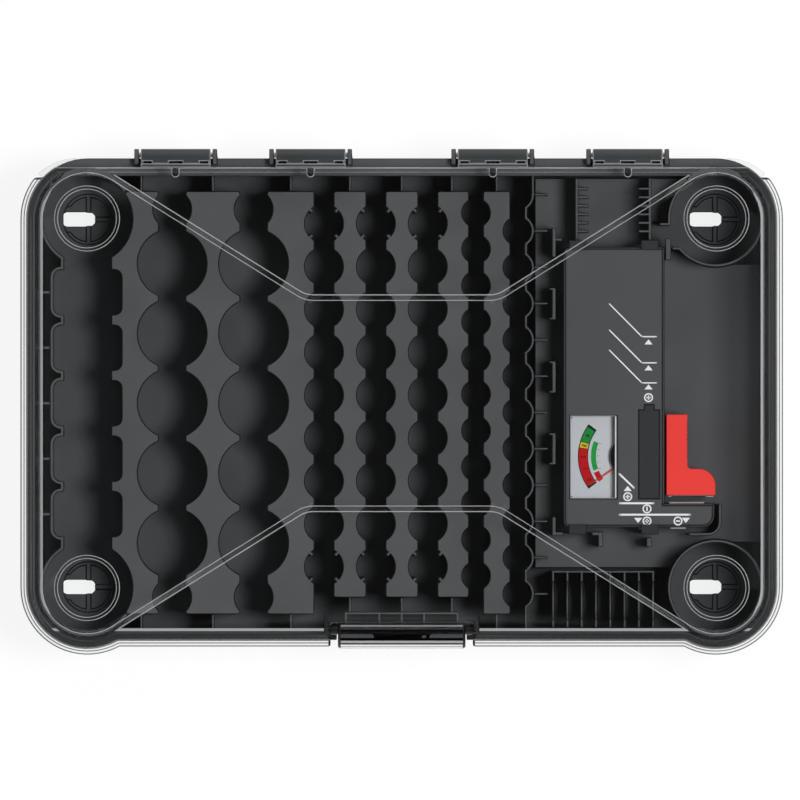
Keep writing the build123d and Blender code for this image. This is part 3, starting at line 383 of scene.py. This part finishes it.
def studio_world():
    """Plain pale room: white to the camera, dim where it lights, dark straight above in gloss."""
    world = bpy.data.worlds.new("studio")
    world.use_nodes = True
    tree = world.node_tree
    tree.nodes.clear()
    path = add(tree, "ShaderNodeLightPath")
    way = add(tree, "ShaderNodeTexCoord")
    height = add(tree, "ShaderNodeSeparateXYZ", None, {0: way.outputs["Generated"]})
    card = add(tree, "ShaderNodeMapRange",
               {"From Min": 0.85, "From Max": 0.98, "To Min": 0.6, "To Max": 0.03},
               {"Value": height.outputs["Z"]})
    soft = add(tree, "ShaderNodeMix", {2: 0.1},
               {0: path.outputs["Is Glossy Ray"], 3: card.outputs["Result"]})
    bent = add(tree, "ShaderNodeMix", {3: 0.04},
               {0: path.outputs["Is Transmission Ray"], 2: soft.outputs[0]})
    level = add(tree, "ShaderNodeMix", {3: 1.0},
                {0: path.outputs["Is Camera Ray"], 2: bent.outputs[0]})
    light = add(tree, "ShaderNodeBackground",
                {"Color": (0.985, 0.99, 1.0, 1.0)}, {"Strength": level.outputs[0]})
    add(tree, "ShaderNodeOutputWorld", links={"Surface": light.outputs["Background"]})
    return world


# ---- modelling helpers
def alone(obj):
    """Deselects everything, then selects and activates one object."""
    bpy.ops.object.select_all(action="DESELECT")
    obj.select_set(True)
    bpy.context.view_layer.objects.active = obj


def active():
    return bpy.context.view_layer.objects.active


def applied():
    """The active object, with its place, turn and size taken into its mesh."""
    bpy.ops.object.transform_apply(location=True, rotation=True, scale=True)
    return active()


def settle(obj, name, finish_name, body):
    """Names a finished piece, gives it its finish and lets it ride on its body."""
    alone(obj)
    obj.name = name
    obj.data.name = name
    obj.data.materials.clear()
    obj.data.materials.append(finish_of(finish_name))
    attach(obj, body)
    return obj


def join(parts):
    """Joins several meshes into one."""
    alone(parts[0])
    for part in parts[1:]:
        part.select_set(True)
    bpy.ops.object.join()
    return active()


def block(x0, x1, y0, y1, z0, z1, turn=0.0):
    """A box between two corners, turned about its own middle."""
    bpy.ops.object.select_all(action="DESELECT")
    bpy.ops.mesh.primitive_cube_add(
        size=1, location=((x0 + x1) / 2, (y0 + y1) / 2, (z0 + z1) / 2),
        rotation=(0, 0, turn), scale=(x1 - x0, y1 - y0, z1 - z0))
    return applied()


def disc(x, y, r, z0, z1, sides, turn=0.0):
    """An upright prism with many sides or few."""
    bpy.ops.object.select_all(action="DESELECT")
    bpy.ops.mesh.primitive_cylinder_add(
        vertices=sides, radius=r, depth=z1 - z0,
        location=(x, y, (z0 + z1) / 2), rotation=(0, 0, turn))
    return applied()


def swept(x, y, r0, r1, z0, z1, start, end, steps):
    """A flat band bent about a point, from one angle to another: a quad spun about the point."""
    middle = (r0 + r1) / 2
    whole = end - start > 2 * math.pi - 1e-6
    bpy.ops.object.select_all(action="DESELECT")
    bpy.ops.mesh.primitive_plane_add(
        size=1, rotation=(math.pi / 2, 0, start),
        location=(x + middle * math.cos(start), y + middle * math.sin(start), (z0 + z1) / 2))
    band = active()
    band.scale = (r1 - r0, z1 - z0, 1)
    applied()
    bpy.ops.object.mode_set(mode="EDIT")
    bpy.ops.mesh.select_all(action="SELECT")
    if whole:                                   # a full ring has no end faces
        bpy.ops.mesh.delete(type="ONLY_FACE")
        bpy.ops.mesh.select_all(action="SELECT")
    bpy.ops.mesh.spin(steps=steps, angle=start - end, center=(x, y, z0), axis=(0, 0, 1))
    bpy.ops.mesh.select_all(action="SELECT")
    bpy.ops.mesh.remove_doubles(threshold=1e-6)
    bpy.ops.mesh.normals_make_consistent(inside=False)
    bpy.ops.object.mode_set(mode="OBJECT")
    return band


def merged_copy(node, name, cuts):
    """A CAD node's mesh as a piece of its own: merged, with flat faces, and cut by planes."""
    piece = bpy.data.objects.new(name, NODES[node].data.copy())
    bpy.context.scene.collection.objects.link(piece)
    alone(piece)
    bpy.ops.object.mode_set(mode="EDIT")
    bpy.ops.mesh.select_all(action="SELECT")
    bpy.ops.mesh.remove_doubles(threshold=2e-6)
    bpy.ops.mesh.dissolve_limited(angle_limit=math.radians(0.5))
    for place, normal in cuts:
        bpy.ops.mesh.select_all(action="SELECT")
        bpy.ops.mesh.bisect(plane_co=[c * MM for c in place], plane_no=normal)
    bpy.ops.object.mode_set(mode="OBJECT")
    return piece


def weigh_edges(piece, weigh):
    """Sets how wide each edge is rounded, by its place in mm and whether it faces outwards."""
    shape = bmesh.new()
    shape.from_mesh(piece.data)
    weights = shape.edges.layers.float.new("bevel_weight_edge")
    sharp = math.radians(20)
    for edge in shape.edges:
        if len(edge.link_faces) == 2 and abs(edge.calc_face_angle_signed()) > sharp:
            middle = (edge.verts[0].co + edge.verts[1].co) / 2
            side = min((face.normal for face in edge.link_faces),
                       key=lambda normal: abs(normal.z))
            edge[weights] = weigh(middle / MM, side.x * middle.x + side.y * middle.y > 0)
    shape.to_mesh(piece.data)
    shape.free()


def rounded(node, name, width, finishes=("edge_painted_shade",), cuts=(), weigh=None, choose=None):
    """A copy of a CAD node with its edges rounded as the mould leaves them, in its stead.

    The rounded edges take the first finish. Cuts are planes that divide its faces, weigh
    gives the share of the width for each edge, and choose gives a face its finish by its
    middle, its normal and whether it is an edge.
    """
    piece = merged_copy(node, name, cuts)
    slot = SLOTS[node]
    settle(piece, name, slot, NODES[node]["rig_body"])
    for finish_name in finishes:
        piece.data.materials.append(finish_of(finish_name))
    bevel = piece.modifiers.new("Bevel", "BEVEL")
    bevel.width = width
    bevel.segments = 2
    # the rounded edges take the first extra finish, which paints shade or highlight on them
    bevel.material = EDGE
    bevel.use_clamp_overlap = False
    bevel.limit_method = "ANGLE"
    bevel.angle_limit = math.radians(40)
    if weigh:
        weigh_edges(piece, weigh)
        bevel.limit_method = "WEIGHT"
    bpy.ops.object.modifier_apply(modifier=bevel.name)
    if choose:
        for face in piece.data.polygons:
            face.material_index = choose(face.center / MM, face.normal,
                                         face.material_index == EDGE)
    bpy.ops.object.shade_smooth_by_angle(angle=math.radians(35))
    for face in piece.data.polygons:            # bent strips stay free of stretched shading
        face.use_smooth = face.use_smooth and face.material_index < FIRST_FLAT
    flat = piece.modifiers.new("Flat", "WEIGHTED_NORMAL")   # the big faces look flat
    flat.keep_sharp = True
    flat.weight = 100
    bpy.ops.object.modifier_apply(modifier=flat.name)
    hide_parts(node)


def on_tester(right, down):
    """A point on the tester's face: millimetres right of its left side and down from its top."""
    return FACE[0].x + right * MM, FACE[1].y - down * MM


# ---- operators: one for each group of pieces
class CASE_OT_finishes(Operator):
    """Gives every CAD node its finish"""
    bl_idname = "case.finishes"
    bl_label = "Node finishes"

    def execute(self, context):
        for node, obj in NODES.items():
            obj.data.materials.clear()
            obj.data.materials.append(finish_of(SLOTS[node]))
        return {"FINISHED"}


class CASE_OT_stage(Operator):
    """Floor, light, camera and view"""
    bl_idname = "case.stage"
    bl_label = "Stage"

    def execute(self, context):
        scene = context.scene
        bpy.ops.object.select_all(action="DESELECT")
        bpy.ops.mesh.primitive_plane_add(size=6, location=(0, 0, -0.02 * MM))
        floor = applied()
        floor.name = "floor"
        floor.data.materials.append(paper_floor())

        def lamp(name, azimuth, elevation, size, power, colour):
            """A round lamp 3 m away that faces the object."""
            a, e = math.radians(azimuth), math.radians(elevation)
            way = Vector((math.cos(a) * math.cos(e), math.sin(a) * math.cos(e), math.sin(e)))
            bpy.ops.object.select_all(action="DESELECT")
            bpy.ops.object.light_add(type="AREA", location=way * 3.0)
            light = active()
            light.name = name
            light.data.shape = "DISK"
            light.data.size = size
            light.data.energy = power
            light.data.color = colour
            light.rotation_euler = way.to_track_quat("Z", "Y").to_euler()
            return light

        # the key lamp throws the pockets' shadows to the left; unseen in gloss, it leaves
        # no white spot on the lid
        lamp("key", 0, 72, 0.75, 92, (1.0, 0.99, 0.98)).visible_glossy = False
        lamp("fill", 110, 45, 2.0, 6, (0.96, 0.98, 1.0))
        lamp("back", 200, 35, 2.0, 6, (0.97, 0.98, 1.0))

        bpy.ops.object.select_all(action="DESELECT")
        bpy.ops.object.camera_add(location=(*VIEW_CENTRE, DECK + VIEW_WIDTH * LENS / SENSOR),
                                  rotation=(0, 0, 0))
        camera = active()
        camera.name = "camera"
        camera.data.type = "PERSP"
        camera.data.sensor_width = SENSOR
        camera.data.lens = LENS
        camera.data.clip_start = 0.5
        camera.data.clip_end = 60
        camera.data.dof.use_dof = False
        scene.camera = camera
        scene.world = studio_world()
        scene.view_settings.view_transform = "Standard"
        return {"FINISHED"}


class CASE_OT_shell(Operator):
    """The case itself, with rounded edges in painted shade"""
    bl_idname = "case.shell"
    bl_label = "Case shell"

    def execute(self, context):
        rounded("case_base", "case_shell", context.scene.case_sizes.edge_round * 0.7)
        return {"FINISHED"}


class CASE_OT_pockets(Operator):
    """The pocket moulding: webs, walls, cups, shelf, comb, rack and guides, with rounded edges in
    painted shade
    """
    bl_idname = "case.pockets"
    bl_label = "Pocket moulding"

    def execute(self, context):
        width = context.scene.case_sizes.edge_round
        for node in ("web_square_to_c", "web_c_to_c", "web_c_to_aa", "web_aa_left",
                     "web_aa_right", "web_aa_to_aaa", "web_aaa"):
            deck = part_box(node)[1].z / MM       # only the deck's edges are rounded
            rounded(node, "pockets_" + node, width,
                    weigh=lambda at, outward: 1.0 if at.z > deck - 0.3 else 0.0)
        for node in ("square_cell_wall", "wavy_wall", "rear_d_cup", "front_d_cup",
                     "tester_shelf", "coin_cell_comb", "button_cell_rack", "tester_brackets",
                     "tester_clips", "latch_bay_walls", "tray_end_ribs"):
            rounded(node, "moulded_" + node, width * 0.7)
        return {"FINISHED"}


class CASE_OT_tester(Operator):
    """Tester shells and sliding arm, with rounded edges in painted shade"""
    bl_idname = "case.tester"
    bl_label = "Tester"

    def execute(self, context):
        width = context.scene.case_sizes.edge_round
        for node in ("tester_front_shell", "tester_rear_shell"):
            rounded(node, "moulded_" + node, width)
        rounded("slider_arm", "moulded_slider_arm", 0.2 * MM, ("arm_edge_painted_shade",))
        # the window's rounded edges take the pale painted highlight of the lid's edges
        rounded("meter_window", "moulded_meter_window", width * 0.8, ("lid_painted_highlight",))

        # a pale strip standing on the window's right edge: a painted highlight line
        low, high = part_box("meter_window")
        right = on_tester(20.5, 0)[0]
        highlight_strip = block(right - 0.2 * MM, right + 0.25 * MM, low.y + 1.4 * MM, high.y - 1.4 * MM,
                     high.z - 0.1 * MM, high.z + 0.2 * MM)
        settle(highlight_strip, "window_painted_highlight", "dial", "base")

        # the arm's contact: a strip let into the foot, with its two ends bent forward
        low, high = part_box("slider_contact")
        strip = block(low.x, high.x, high.y - 0.15 * MM, high.y, low.z, high.z)
        near = block(low.x, low.x + 1.3 * MM, low.y, high.y, low.z, high.z)
        far = block(high.x - 2.8 * MM, high.x, low.y, high.y, low.z, high.z)
        strip = settle(join([strip, near, far]), "arm_contact_strip", "contact",
                       NODES["slider_contact"]["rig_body"])
        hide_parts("slider_contact")

        # the sunk outline of a cell, printed darker than the face
        left, bottom = on_tester(29.7, 99.1)
        top = on_tester(29.7, 64.2)[1]
        sunk = FACE[1].z - 0.3 * MM
        z0, z1 = sunk - 0.02 * MM, sunk + 0.05 * MM
        body = block(left, left + 8.1 * MM, bottom, top, z0, z1)
        cap = block(left + 2.2 * MM, left + 5.9 * MM, top - 0.1 * MM, top + 2.1 * MM, z0, z1)
        settle(join([body, cap]), "cell_mark", "cell_mark", "base")
        return {"FINISHED"}


class CASE_OT_marks(Operator):
    """White marks printed on the tester: pointers, arrows and poles"""
    bl_idname = "case.marks"
    bl_label = "Printed marks"

    def execute(self, context):
        sizes = context.scene.case_sizes
        z0 = FACE[1].z - 0.01 * MM
        z1 = FACE[1].z + sizes.ink
        wide, thin = sizes.line / 2, sizes.line * 0.32      # half the width of a line
        parts = []

        def stroke(a, b, half=wide):
            """A line with round ends."""
            ax, ay = on_tester(*a)
            bx, by = on_tester(*b)
            mx, my = (ax + bx) / 2, (ay + by) / 2
            reach = math.hypot(bx - ax, by - ay) / 2
            parts.append(block(mx - reach, mx + reach, my - half, my + half, z0, z1,
                               math.atan2(by - ay, bx - ax)))
            parts.append(disc(ax, ay, half, z0, z1, 16))
            parts.append(disc(bx, by, half, z0, z1, 16))

        def arrow(right, down, upward=True):
            """A low triangle, pointing up or down."""
            x, y = on_tester(right, down)
            head = disc(x, y, 1.85 * MM, z0, z1, 3, 0.0 if upward else math.pi)
            alone(head)
            bpy.ops.object.mode_set(mode="EDIT")
            bpy.ops.mesh.select_all(action="SELECT")
            bpy.ops.transform.resize(value=(1, 0.72, 1), center_override=(x, y, z0))
            bpy.ops.object.mode_set(mode="OBJECT")
            parts.append(head)

        def pole(right, down, bars):
            """A ring with a plus or a minus in it, by the turns of its bars."""
            x, y = on_tester(right, down)
            parts.append(swept(x, y, 1.25 * MM, 1.78 * MM, z0, z1, 0, 2 * math.pi, 36))
            for turn in bars:
                parts.append(block(x - 0.85 * MM, x + 0.85 * MM, y - 0.28 * MM, y + 0.28 * MM,
                                   z0, z1, turn))

        level, upright = 0.0, math.pi / 2
        plus = (level, upright)

        # three thin pointers for the arm's places, each with an arrow under its end
        for down in (22.4, 32.7, 40.6):
            stroke((18.1, down), (30.9, down + 12.9), thin)
            stroke((30.9, down + 12.9), (36.6, down + 12.9), thin)
        for down in (37.7, 47.9, 55.4):
            arrow(33.5, down)
        pole(33.5, 59.3, plus)

        # where the cells' ends go, round the foot of the tester
        stroke((22.1, 89.4), (27.7, 94.8))
        arrow(25.3, 95.4)
        pole(25.3, 98.3, plus)
        stroke((22.2, 100.9), (35.4, 100.9))
        pole(32.9, 103.1, (upright,))
        stroke((22.2, 105.4), (49.8, 105.4))
        arrow(29.4, 107.3, False)
        pole(32.9, 107.9, plus)
        pole(45.1, 107.9, (level,))
        arrow(48.2, 107.3, False)
        settle(join(parts), "tester_marks", "ink_white", "base")
        return {"FINISHED"}


class CASE_OT_dial(Operator):
    """The printed dial: coloured bands, ticks and plain numbers, and the pointer over it"""
    bl_idname = "case.dial"
    bl_label = "Dial and pointer"

    def execute(self, context):
        sizes = context.scene.case_sizes
        x, y = PIVOT[0], PIVOT[1]
        layer = sizes.ink
        face = DIAL[1].z
        under = face - 0.01 * MM                # the ink starts just inside the plate

        def band(name, r0, r1, start, end, ink, level):
            """Part of a ring round the pivot: radii in millimetres, angles in degrees."""
            piece = swept(x, y, r0 * MM, r1 * MM, under + level * layer,
                          face + (level + 1) * layer, math.radians(start), math.radians(end),
                          sizes.steps)
            settle(piece, name, ink, "base")

        band("dial_border", 17.3, 21.3, 143.2, 216.7, "ink_black", 0)
        band("dial_low_band", 17.65, 20.95, 170.9, 213.4, "ink_red", 1)
        band("dial_middle_band", 17.65, 20.95, 163.7, 170.2, "ink_yellow", 1)
        band("dial_high_band", 17.65, 20.95, 146.2, 163.0, "ink_green", 1)
        band("dial_small_high_band", 14.15, 16.15, 157.9, 200.0, "ink_light_green", 0)
        band("dial_small_low_band", 14.15, 16.35, 203.3, 217.5, "ink_red", 0)

        # plain numbers on the wide band, their heads outwards
        parts = []
        for number, angle in enumerate((208.5, 194.5, 180.5, 167.0, 154.5)):
            turn = math.radians(angle)
            r = 19.3 * MM
            bpy.ops.object.select_all(action="DESELECT")
            bpy.ops.object.text_add(
                location=(x + r * math.cos(turn), y + r * math.sin(turn), face + 2 * layer),
                rotation=(0, 0, turn + math.pi / 2))
            digit = active()
            digit.data.body = str(number)
            digit.data.size = 2.3 * MM
            digit.data.extrude = layer / 2
            digit.data.offset = 0.06 * MM
            digit.data.resolution_u = 4
            digit.data.align_x = "CENTER"
            digit.data.align_y = "CENTER"
            bpy.ops.object.convert(target="MESH")
            parts.append(applied())

        # ticks inside the narrow band
        for angle in (157.9, 168.4, 178.9, 189.4, 200.0):
            turn = math.radians(angle)
            r = 13.4 * MM
            tick_x, tick_y = x + r * math.cos(turn), y + r * math.sin(turn)
            parts.append(block(tick_x - 0.4 * MM, tick_x + 0.4 * MM, tick_y - 0.1 * MM,
                               tick_y + 0.1 * MM, under, face + layer, turn))

        # dots in the corners of the plate
        for corner_x in (66.95, 84.1):
            for corner_y in (-5.7, -36.8):
                parts.append(disc(corner_x * MM, corner_y * MM, 0.3 * MM, under, face + layer,
                                  16))
        settle(join(parts), "dial_numbers", "ink_black", "base")

        # the pointer: a tapered arm, its hub and a short tail, turned to its rest
        low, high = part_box("meter_needle")
        length = 20.4 * MM
        pointer = block(0, length, -0.5 * MM, 0.5 * MM, low.z, high.z)
        bpy.ops.object.mode_set(mode="EDIT")
        bpy.ops.mesh.select_all(action="DESELECT")
        bpy.ops.object.mode_set(mode="OBJECT")
        for vertex in pointer.data.vertices:
            vertex.select = vertex.co.x > length / 2
        bpy.ops.object.mode_set(mode="EDIT")
        bpy.ops.transform.resize(value=(1, 0.3, 0.6), center_override=(length, 0, high.z))
        bpy.ops.object.mode_set(mode="OBJECT")
        hub = disc(0, 0, 1.8 * MM, low.z, high.z, 32)
        tail = block(-4.2 * MM, 0, -0.35 * MM, 0.35 * MM, low.z, high.z)
        pointer = join([pointer, hub, tail])
        pointer.location = (x, y, 0)
        pointer.rotation_euler = (0, 0, math.radians(213.8))
        applied()
        settle(pointer, "pointer", "needle_red", "needle")
        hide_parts("meter_needle")
        return {"FINISHED"}


class CASE_OT_lid(Operator):
    """The clear lid, its edges in painted highlight and painted shade lines, with the thin ends of
    its lip and the stops under its rear edge
    """
    bl_idname = "case.lid"
    bl_label = "Lid"

    def execute(self, context):
        body = NODES["lid_cover"]["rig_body"]
        low, high = (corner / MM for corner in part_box("lid_cover"))
        panel = high.z - 1.5                    # the rings stand 1.5 mm above the raised panel
        top = panel - 4.0                       # the flat top round it lies 4 mm lower
        near_rear = LID_REAR - 3
        # the lid's finishes: its own clear one, pale painted highlight, grey painted shade line,
        # the bent rim's painted shade and dark painted shade
        plain, pale, grey, bent, dark = 0, EDGE, 2, 3, 4

        def ring(at):
            return math.hypot(abs(at.x) - CUP[0], abs(at.y) - CUP[1]) < RING

        def lip_end(at):
            """The upright ends of the lip, at the latch's bay and near the rear corners."""
            at_bay = abs(abs(at.x) - LATCH_BAY) < 0.7 and at.y < -RIM_HALF[1] and at.z < 60
            at_corner = abs(at.y - LIP_END) < 0.7 and abs(at.x) > 130
            return at_bay or (at_corner and at.z < LIP_TOP - 0.5)

        def lid_line(at, outward):
            """Edges that show as painted highlight or painted shade lines are rounded, and soft
            bends keep their plain form.
            """
            if lip_end(at):
                return 2.0
            if at.z > panel - 0.1:
                if ring(at):
                    return 0.0 if at.z < panel + 0.1 else 0.8
                return 1.7 if abs(at.x) > PANEL_HALF[0] else 0.55
            inside = abs(at.x) < PANEL_HALF[0] and abs(at.y) < PANEL_HALF[1]
            if abs(at.z - top) < 0.1 and inside:
                return 0.7
            if at.z > LIP_TOP:
                return 0.0
            if at.y > near_rear:
                return 1.0 if outward else 0.6
            return 0.0 if low.z + 0.1 < at.z < low.z + 4 else 1.0

        # edges, the front line and the sloped rim take the painted highlight and painted shade
        # finishes
        def lid_face(at, normal, edge):
            if edge and lip_end(at):
                return dark
            if edge:
                return pale if at.z > LIP_TOP or at.y > near_rear else grey
            level = abs(at.z - top) < 0.05 and normal.z > 0.9
            if level and FRONT_LINE[0] < at.y < FRONT_LINE[1]:
                return pale
            sloped = 0.05 < normal.z < 0.985 and (at.y < near_rear or abs(at.x) > 100)
            outside = abs(at.x) > RIM_HALF[0] or abs(at.y) > RIM_HALF[1]
            return bent if sloped and outside else plain

        # cuts through the rings leave no face with a hole in it, and two bound the painted
        # highlight line along the front
        cuts = [((x, 0, 0), (1, 0, 0)) for x in (-CUP[0], 0, CUP[0])]
        cuts += [((0, y, 0), (0, 1, 0)) for y in (*FRONT_LINE, -CUP[1], CUP[1])]
        rounded("lid_cover", "lid_shell", 0.42 * MM,
                ("lid_painted_highlight", "lip_painted_shade_line", "lid_bend_painted_shade", "hook_painted_shade"), cuts, lid_line, lid_face)

        # the lip thins out behind its cut ends, round the two rear corners
        inner, outer = (CORNER + 0.25) * MM, (CORNER + 2.4) * MM
        first, last = math.radians(42.5), math.radians(80)
        for side, name in ((-1, "lip_tail_left"), (1, "lip_tail_right")):
            centre = Vector((side * CUP[0] * MM, CUP[1] * MM))
            start, end = (first, last) if side > 0 else (math.pi - last, math.pi - first)
            tail = swept(*centre, inner, outer, (low.z + 2.75) * MM, (low.z + 3.6) * MM,
                         start, end, 18)
            for vertex in tail.data.vertices:
                way = vertex.co.xy - centre
                if way.length > (inner + outer) / 2:
                    along = (math.atan2(way.y, abs(way.x)) - first) / (last - first)
                    thinned = (outer - inner) * max(1 - along, 0.0) ** 0.8
                    vertex.co.xy = centre + way.normalized() * (inner + thinned + 0.1 * MM)
            settle(tail, name, "lid_clear", body)
            # the outer side and the rounded outline take the lip's grey painted shade line
            tail.data.materials.append(finish_of("lip_painted_shade_line"))
            for face in tail.data.polygons:
                way = face.center.xy - centre
                if abs(face.normal.z) < 0.5 and face.normal.xy.dot(way) > 0:
                    face.material_index = EDGE
            alone(tail)
            bpy.ops.object.mode_set(mode="EDIT")
            bpy.ops.mesh.select_all(action="SELECT")
            bpy.ops.mesh.normals_make_consistent(inside=False)
            bpy.ops.object.mode_set(mode="OBJECT")
            line = tail.modifiers.new("Outline", "BEVEL")
            line.width = 0.35 * MM
            line.material = EDGE
            line.limit_method = "ANGLE"
            bpy.ops.object.modifier_apply(modifier=line.name)

        # black stops under the lid's rear edge, one to each hinge, with a rim below in the pale
        # painted highlight of the lid's edges
        for number in HINGES:
            leaf_low, leaf_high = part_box(f"hinge_leaf_{number}")
            x = (leaf_low.x + leaf_high.x) / 2
            y0, y1, z = (LID_REAR - 2.4) * MM, (LID_REAR - 0.2) * MM, (top - 1.96) * MM

            def stop(name, look, half, z0, z1):
                settle(join([disc(x, y0, half, z0, z1, 32),
                             block(x - half, x + half, y0, y1, z0, z1)]),
                       f"{name}_{number}", look, body)

            stop("rear_stop", "pin_black", 1.2 * MM, z - 0.5 * MM, z)
            stop("rear_stop_rim", "lid_painted_highlight", 1.6 * MM, z - 0.8 * MM,
                 z - 0.55 * MM)
        return {"FINISHED"}


class CASE_OT_latch(Operator):
    """The clear latch flap, with painted shade on its hook and sides and painted highlights on its
    top edges
    """
    bl_idname = "case.latch"
    bl_label = "Latch"

    def execute(self, context):
        low, high = (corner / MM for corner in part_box("latch_flap"))
        # the latch's finishes: its own clear one, pale painted highlight, dark painted shade and
        # the bent top's painted shade
        plain, pale, dark, bent = 0, EDGE, 2, 3

        def latch_line(at, outward):
            if abs(at.x) > high.x - 0.1:
                return 3.0
            if at.z > high.z - 0.1:
                return 1.4
            return 0.5 if at.z < low.z + 0.9 else 0.0

        def latch_face(at, normal, edge):
            back, up = at.y - low.y, at.z - low.z
            near_top = at.z > high.z - 5
            if edge:
                return dark if abs(at.x) > high.x - 1.2 else pale
            if 1.6 < back < 4.5 and 2.6 < up < 12:          # the hook: dark painted shade
                return dark
            # faces near the top that turn back and up take painted highlight, and the strip behind
            # them the bent top's painted shade
            if near_top and normal.y > 0.65 and normal.z > 0:
                return pale
            return bent if near_top and 2.2 < back < 5.6 else plain

        rounded("latch_flap", "latch_shell", 0.35 * MM, ("lid_painted_highlight", "hook_painted_shade", "lid_bend_painted_shade"),
                (), latch_line, latch_face)
        return {"FINISHED"}


class CASE_OT_leaves(Operator):
    """The four hinge leaves, with a pale painted highlight on their edges"""
    bl_idname = "case.leaves"
    bl_label = "Hinge leaves"

    def execute(self, context):
        width = context.scene.case_sizes.edge_round
        for number in HINGES:
            rounded(f"hinge_leaf_{number}", f"lid_leaf_{number}", width, ("leaf_painted_highlight",))
        return {"FINISHED"}


class CASE_PT_sidebar(Panel):
    """Sizes, colours and the steps that build the case's finish"""
    bl_idname = "CASE_PT_sidebar"
    bl_label = "Battery case"
    bl_space_type = "VIEW_3D"
    bl_region_type = "UI"
    bl_category = "Battery Case"

    def draw(self, context):
        layout = self.layout
        for group in (context.scene.case_sizes, context.scene.case_colours):
            column = layout.column(align=True)
            for name in group.__annotations__:
                column.prop(group, name)
        column = layout.column()
        for step in STEPS:
            column.operator(step.bl_idname)


STEPS = (CASE_OT_finishes, CASE_OT_stage, CASE_OT_shell, CASE_OT_pockets, CASE_OT_tester,
         CASE_OT_marks, CASE_OT_dial, CASE_OT_lid, CASE_OT_latch, CASE_OT_leaves)
CLASSES = (CaseSizes, CaseColours, CASE_PT_sidebar) + STEPS


def register():
    for cls in CLASSES:
        bpy.utils.register_class(cls)
    bpy.types.Scene.case_sizes = PointerProperty(type=CaseSizes)
    bpy.types.Scene.case_colours = PointerProperty(type=CaseColours)


def unregister():
    del bpy.types.Scene.case_colours
    del bpy.types.Scene.case_sizes
    for cls in reversed(CLASSES):
        bpy.utils.unregister_class(cls)


def main():
    register()
    bpy.ops.case.finishes()
    bpy.ops.case.stage()
    bpy.ops.case.shell()
    bpy.ops.case.pockets()
    bpy.ops.case.tester()
    bpy.ops.case.marks()
    bpy.ops.case.dial()
    bpy.ops.case.lid()
    bpy.ops.case.latch()
    bpy.ops.case.leaves()


if __name__ == "__main__":
    main()
